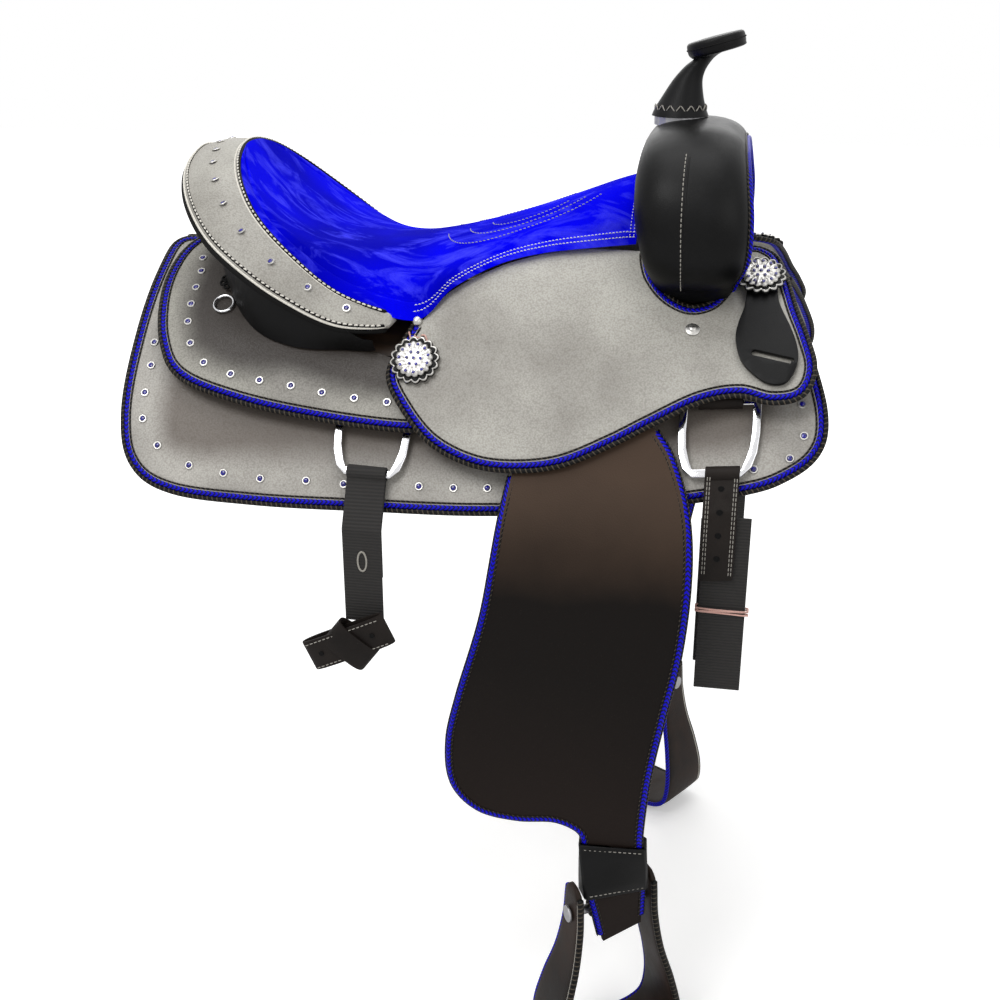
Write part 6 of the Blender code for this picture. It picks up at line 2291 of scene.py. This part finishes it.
    def front(self) -> None:
        """Build the off billet: punched leather, webbing, holes, stitches and the pale tie."""
        x, end, body = self.front_x, self.front_end, "front_billet_{side}"
        punched = strap("front_billet_strap", self.line(x, self.front_dee_down, end), self.front_width, self.ply)
        both_sides(dress(self.lean(punched, x), BILLET), body, [body], "black_leather")
        face = self.below_skirt(x)
        back = face.y - self.ply - 0.0016
        web_x, out = x + self.web_shift, Vector((0, 1, 0))
        line = [Vector((web_x, back, face.z - 0.006 - k * 0.004)) for k in range(int((face.z + 0.352) / 0.004))]
        spare = [p + Vector((-0.006, -0.0032, -0.004)) for p in line[: int(len(line) * 0.84)]]
        for name, track, width, thickness in (("web", line, 0.045, 0.0028), ("spare_web", spare, 0.038, 0.0022)):
            web = strap(f"front_billet_{name}", Rail(track, [out] * len(track)), width, thickness)
            both_sides(dress(web, WEB), body)
        front = face.y + self.ply + 0.0001
        holes = [(Vector((x, front, z)), Vector((1, 0, 0)), out) for z in np.arange(-0.137, end + 0.006, -0.024)]
        both_sides(dress(stamped("front_billet_holes", hole_stamp(0.0026), holes), EDGE), body)
        rows = [(Vector((x + shift, front, z)), Vector((0, 0, 1)), out) for shift in self.front_stitch_rows
                for z in np.arange(-0.128, end + 0.004, -0.0048)]
        sew("front_billet_stitches", rows, GREY_THREAD, (0.0036, 0.0009), body, pair=True)
        self.tie(web_x, back, body)

    def tie(self, web_x: float, back: float, body: str) -> None:
        """Wind the pale tie round the webbing.

        Args:
            web_x: Middle of the webbing along the back.
            back: Middle of the webbing across.
            body: Body that carries it.
        """
        ties = []
        for lift in self.tie_heights:
            track = []
            for a in np.linspace(0, math.tau, 40, endpoint=False):
                px = math.copysign(min(1.0, 1.25 * abs(math.cos(a))), math.cos(a)) * 0.0252
                py = math.copysign(min(1.0, 1.25 * abs(math.sin(a))), math.sin(a)) * 0.0034
                track.append(Vector((web_x + px, back + 0.0006 + py, lift + 0.0012 * math.cos(a + lift * 900))))
            ties.append(cord(f"tie_{lift}", Rail.ring(track, Vector((0, 0, 1))), 0.0009, 6))
        tie = joined(ties)
        tie.name = "front_billet_tie"
        both_sides(dress(tie, PALE_TIE), body)


# Fenders, leathers and stirrups

NECK_X, STRAP_Y = 0.160, 0.25625
NECK_TWIST = math.radians(-32.0)


@dataclass
class Fender:
    """Fender with its corded edge, the stirrup leather behind it, the hobble strap and the buckle."""

    thickness: float = 0.0045
    twist_span: tuple[float, float] = (-0.515, -0.600)
    path: tuple = ((0.0600, 0.1665), (0.0971, 0.1947), (0.1210, 0.2100), (0.1433, 0.2239), (0.1640, 0.2375),
                   (0.1950, 0.2535), (0.2350, 0.2650), (0.2900, 0.2680), (0.4000, 0.2680), (0.6500, 0.2680))
    outline: tuple = (
        (0.047, -0.1370, "C"), (0.041, -0.173), (0.027, -0.270), (0.001, -0.366), (-0.010, -0.420), (-0.006, -0.468),
        (0.020, -0.496), (0.060, -0.503), (0.100, -0.500), (0.127, -0.511), (0.1325, -0.530), (0.1330, -0.556),
        (0.134, -0.590), (0.146, -0.642, "C"), (0.190, -0.630, "C"), (0.190, -0.580), (0.187, -0.520),
        (0.192, -0.445), (0.203, -0.374), (0.216, -0.300), (0.221, -0.225), (0.216, -0.169), (0.198, -0.121),
        (0.177, -0.0940, "C"), (0.140, -0.1060), (0.093, -0.1215))

    def place(self, x: float, z: float, out: float) -> Vector:
        """Point on the inner face of the hanging fender.

        Args:
            x: How far forward.
            z: Height.
            out: How far out from the inner face.

        Returns:
            The point.
        """
        point = Vector((x, eased(-z, self.path) - self.thickness / 2 + out, z))
        high, low = self.twist_span
        share = min(1.0, max(0.0, (high - z) / (high - low)))
        share = share * share * (3 - 2 * share) * 0.3 + share * 0.7
        centre = Vector((NECK_X, STRAP_Y, 0.0))
        return Matrix.Rotation(NECK_TWIST * share, 3, "Z") @ (point - centre) + centre

    def build(self) -> None:
        """Build the hanging leathers on both sides."""
        outline = smooth_outline(self.outline)
        fender = dress(panel("fender_leather", [outline], self.thickness, self.place), HANG)
        both_sides(fender, "fender_{side}", ["fender_{side}"], "brown_leather")
        edging = Edging(outer=0.0011, inner=0.0008)
        edging.lay("fender_edge_rear", self.place, outline, (1, 103), self.thickness, "fender_{side}")
        edging.lay("fender_edge_front", self.place, outline, (113, 183), self.thickness, "fender_{side}")
        refined("stirrup_leather_lower", "leather_lower", HANG, "fender_{side}", 0.0006)
        refined("hobble_strap", "hobble_leather", BLACK, "fender_{side}", 0.0009)
        refined("leather_buckle", "buckle_plate", STEEL, "fender_{side}", 0.0005)
        refined("stirrup_leather_upper", "leather_upper", HANG, "stirrup_leather_{side}", 0.0006, slot="brown_leather")
        self.sew_hobble()

    def sew_hobble(self) -> None:
        """Sew the edges of the hobble strap."""
        rows = []
        for z in (-0.5285, -0.5795):
            track = straight((NECK_X - 0.028, z), (0.056, 0.0), 20)
            rows += Rail.laid(self.place, track, self.thickness + 0.0039).stations(0.0050)
        sew("hobble_stitches", rows, GREY_THREAD, (0.0034, 0.0009), "fender_{side}", pair=True)


@dataclass
class Stirrup:
    """Leather-covered stirrup: braid on its outer edges, whip lacing on its inner ones, and its bolt."""

    wall: float = 0.008
    squareness: float = 0.45
    arm: tuple = (
        (0.0430, -0.570, 0.013), (0.0430, -0.590, 0.016), (0.0440, -0.622, 0.019), (0.0500, -0.662, 0.024),
        (0.0610, -0.702, 0.031), (0.0685, -0.742, 0.037), (0.0660, -0.773, 0.040), (0.0520, -0.786, 0.041),
        (0.0280, -0.791, 0.041), (0.0140, -0.791, 0.041), (0.0, -0.791, 0.041))

    def row(self, t: float) -> list[float]:
        """Place and half depth along the stirrup: 0 and 20 are the ears, 10 the middle of the tread."""
        return blend([*self.arm, *((-o, u, h) for o, u, h in self.arm[-2::-1])], t)

    def place(self, t: float, angle: float, out: float) -> Vector:
        """Point of the stirrup's skin; angle 0 is its outer face and 90 degrees its front edge.

        Args:
            t: Place, counted in rows.
            angle: Place round it, in degrees.
            out: How far out from the skin.

        Returns:
            The point.
        """
        side, up, half = self.row(t)
        before, after = self.row(max(0.0, t - 0.05)), self.row(min(20.0, t + 0.05))
        along = Vector((after[0] - before[0], after[1] - before[1])).normalized()
        normal = Vector((-along.y, along.x))
        cosine, sine = math.cos(math.radians(angle)), math.sin(math.radians(angle))
        wall = math.copysign(abs(cosine) ** self.squareness, cosine) * (self.wall / 2 + out)
        deep = math.copysign(abs(sine) ** self.squareness, sine) * (half + out)
        point = Vector((side + normal.x * wall, deep, up + normal.y * wall))
        return Matrix.Translation((NECK_X, STRAP_Y, 0.0)) @ Matrix.Rotation(NECK_TWIST, 4, "Z") @ point

    def build(self) -> None:
        """Build the stirrup, its edges and its bolt on both sides."""
        def skin(u: float, v: float) -> Vector:
            """Point of the cover, closed and rounded at both ears.

            Args:
                u: Share round, 0 to 1.
                v: Share along, 0 to 1.

            Returns:
                The point.
            """
            t = 20.0 * v
            edge = min(1.0, math.sqrt(min(v, 1 - v) / 0.03))
            middle = (self.place(t, 0.0, 0.0) + self.place(t, 180.0, 0.0)) / 2
            return middle.lerp(self.place(t, 360.0 * u, 0.0), edge)

        cover = dress(grid_form("stirrup_cover", 32, 110, skin), STIRRUP)
        both_sides(cover, "stirrup_{side}", ["stirrup_{side}"], "brown_leather")
        for name, start, angle, lift, radius, sides, finish in (
                ("braid", 0.5, 270.0, 0.0004, 0.0030, 10, BLUE_BRAID), ("lacing", 0.5, 90.0, 0.0004, 0.0036, 10, WHIP),
                ("white_line", 0.7, 66.0, 0.0003, 0.0007, 6, THREAD)):
            rail = Rail.laid(self.place, straight((start, angle), (20.0 - 2 * start, 0.0), 160), lift)
            lay(f"stirrup_{name}", rail, radius, finish, "stirrup_{side}", sides, pair=True)
        refined("stirrup_bolt", "stirrup_bolt_steel", STEEL, "stirrup_{side}", 0.0006, slot="steel")


def dress_tree() -> None:
    """Give the tree's own nodes their finishes."""
    for node, finish in (("bar_left", RAWHIDE), ("bar_right", RAWHIDE), ("fork", RAWHIDE), ("cantle_board", RAWHIDE),
                         ("ground_seat", STEEL), ("horn", STEEL)):
        dress(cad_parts[node], finish)


def tie_tacks() -> None:
    """Set the silver tack with its tie where the roll meets the seat's skirt."""
    x, down = -0.064, 0.124
    point = BACK.on(jockey_face, x, down, 0.0)
    out = (BACK.on(jockey_face, x, down, 0.01) - point).normalized()
    dome = [(0.0, 0.0046), (0.4, 0.0042), (0.75, 0.0028), (1.0, 0.0006), (1.0, -0.0004), (0.0, -0.0004)]
    both_sides(dress(turned("crest_tack", point, Vector((1, 0, 0)), out, 0.0058, dome, 24), SILVER), "saddle")
    bits = []
    for k in range(3):
        track = [Vector((x + 0.006 * k - 0.007 + 0.010 * w, down + 0.010 + 0.012 * w + 0.003 * math.sin(5 * w + k)))
                 for w in np.linspace(0, 1, 14)]
        bits.append(cord(f"crest_tie_{k}", Rail.laid(BACK.layer(jockey_face), track, 0.0014, 0.0015), 0.0009, 6))
    tie = joined(bits)
    tie.name = "crest_tie"
    both_sides(dress(tie, PALE_TIE), "saddle")


# Studio


FLOOR_Z = -0.805
SKY = 0.42
LAMPS = (("key", (-1.2, -2.2, 2.8), 1.7, 66.0), ("fill", (2.4, -2.0, 1.3), 2.2, 22.0),
         ("top", (0.0, 0.2, 2.9), 2.2, 44.0), ("back", (0.0, 2.8, 1.3), 2.4, 22.0))
LAMP_AIM = Vector((0.03, 0.0, -0.15))
LENS_MM, SENSOR_MM = 46.8, 36.0
CAMERA_PLACE, CAMERA_AIM = Vector((0.2504, -1.3893, 0.2994)), Vector((0.030, -0.2, -0.177))


def studio() -> None:
    """Set the pale floor, the soft lights and the camera at the photograph's angle."""
    bpy.ops.object.select_all(action="DESELECT")
    bpy.ops.mesh.primitive_grid_add(x_subdivisions=8, y_subdivisions=8, size=14.0, location=(0, 2.0, FLOOR_Z))
    floor = bpy.context.active_object
    bpy.ops.object.transform_apply(location=True)
    floor.name = "studio_floor"
    dress(floor, STAGE)
    for name, where, size, power in LAMPS:
        lamp = bpy.data.lights.new(name, "AREA")
        lamp.energy, lamp.size = power, size
        obj = bpy.data.objects.new(name, lamp)
        obj.location = where
        obj.rotation_euler = (LAMP_AIM - Vector(where)).to_track_quat("-Z", "Y").to_euler()
        bpy.context.scene.collection.objects.link(obj)
    world = bpy.data.worlds.new("studio")
    world.use_nodes = True
    bpy.context.scene.world = world
    brush = Brush(world.node_tree, "Background")
    seen = brush.add("LightPath", output="Is Camera Ray")
    for kind in ("Is Glossy Ray", "Is Transmission Ray"):
        seen = brush.math("MAXIMUM", seen, brush.add("LightPath", output=kind))
    brush.set({"Color": WHITE, "Strength": brush.spread(seen, 0.0, 1.0, SKY, 1.0)})
    view = bpy.data.cameras.new("photo_view")
    view.lens, view.sensor_width = LENS_MM, SENSOR_MM
    camera = bpy.data.objects.new("photo_view", view)
    camera.location = CAMERA_PLACE
    camera.rotation_euler = (CAMERA_AIM - CAMERA_PLACE).to_track_quat("-Z", "Y").to_euler()
    bpy.context.scene.collection.objects.link(camera)
    bpy.context.scene.camera = camera
    bpy.context.scene.view_settings.view_transform = "Standard"


def main() -> None:
    """Build every sub-assembly in order."""
    logging.basicConfig(level=logging.INFO, format="%(message)s")
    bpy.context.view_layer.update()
    dress_tree()
    Skirt().build()
    RearJockey().build()
    SeatJockey().build()
    for name, x, down, lift in CONCHOS:
        Concho().build(name, x, down, lift)
    Keeper().build()
    Swell().build()
    Horn().build()
    Cantle().build()
    Seat().build()
    Rigging().build()
    Billets().build()
    Fender().build()
    Stirrup().build()
    tie_tacks()
    studio()
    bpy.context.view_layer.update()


if __name__ == "__main__":
    main()
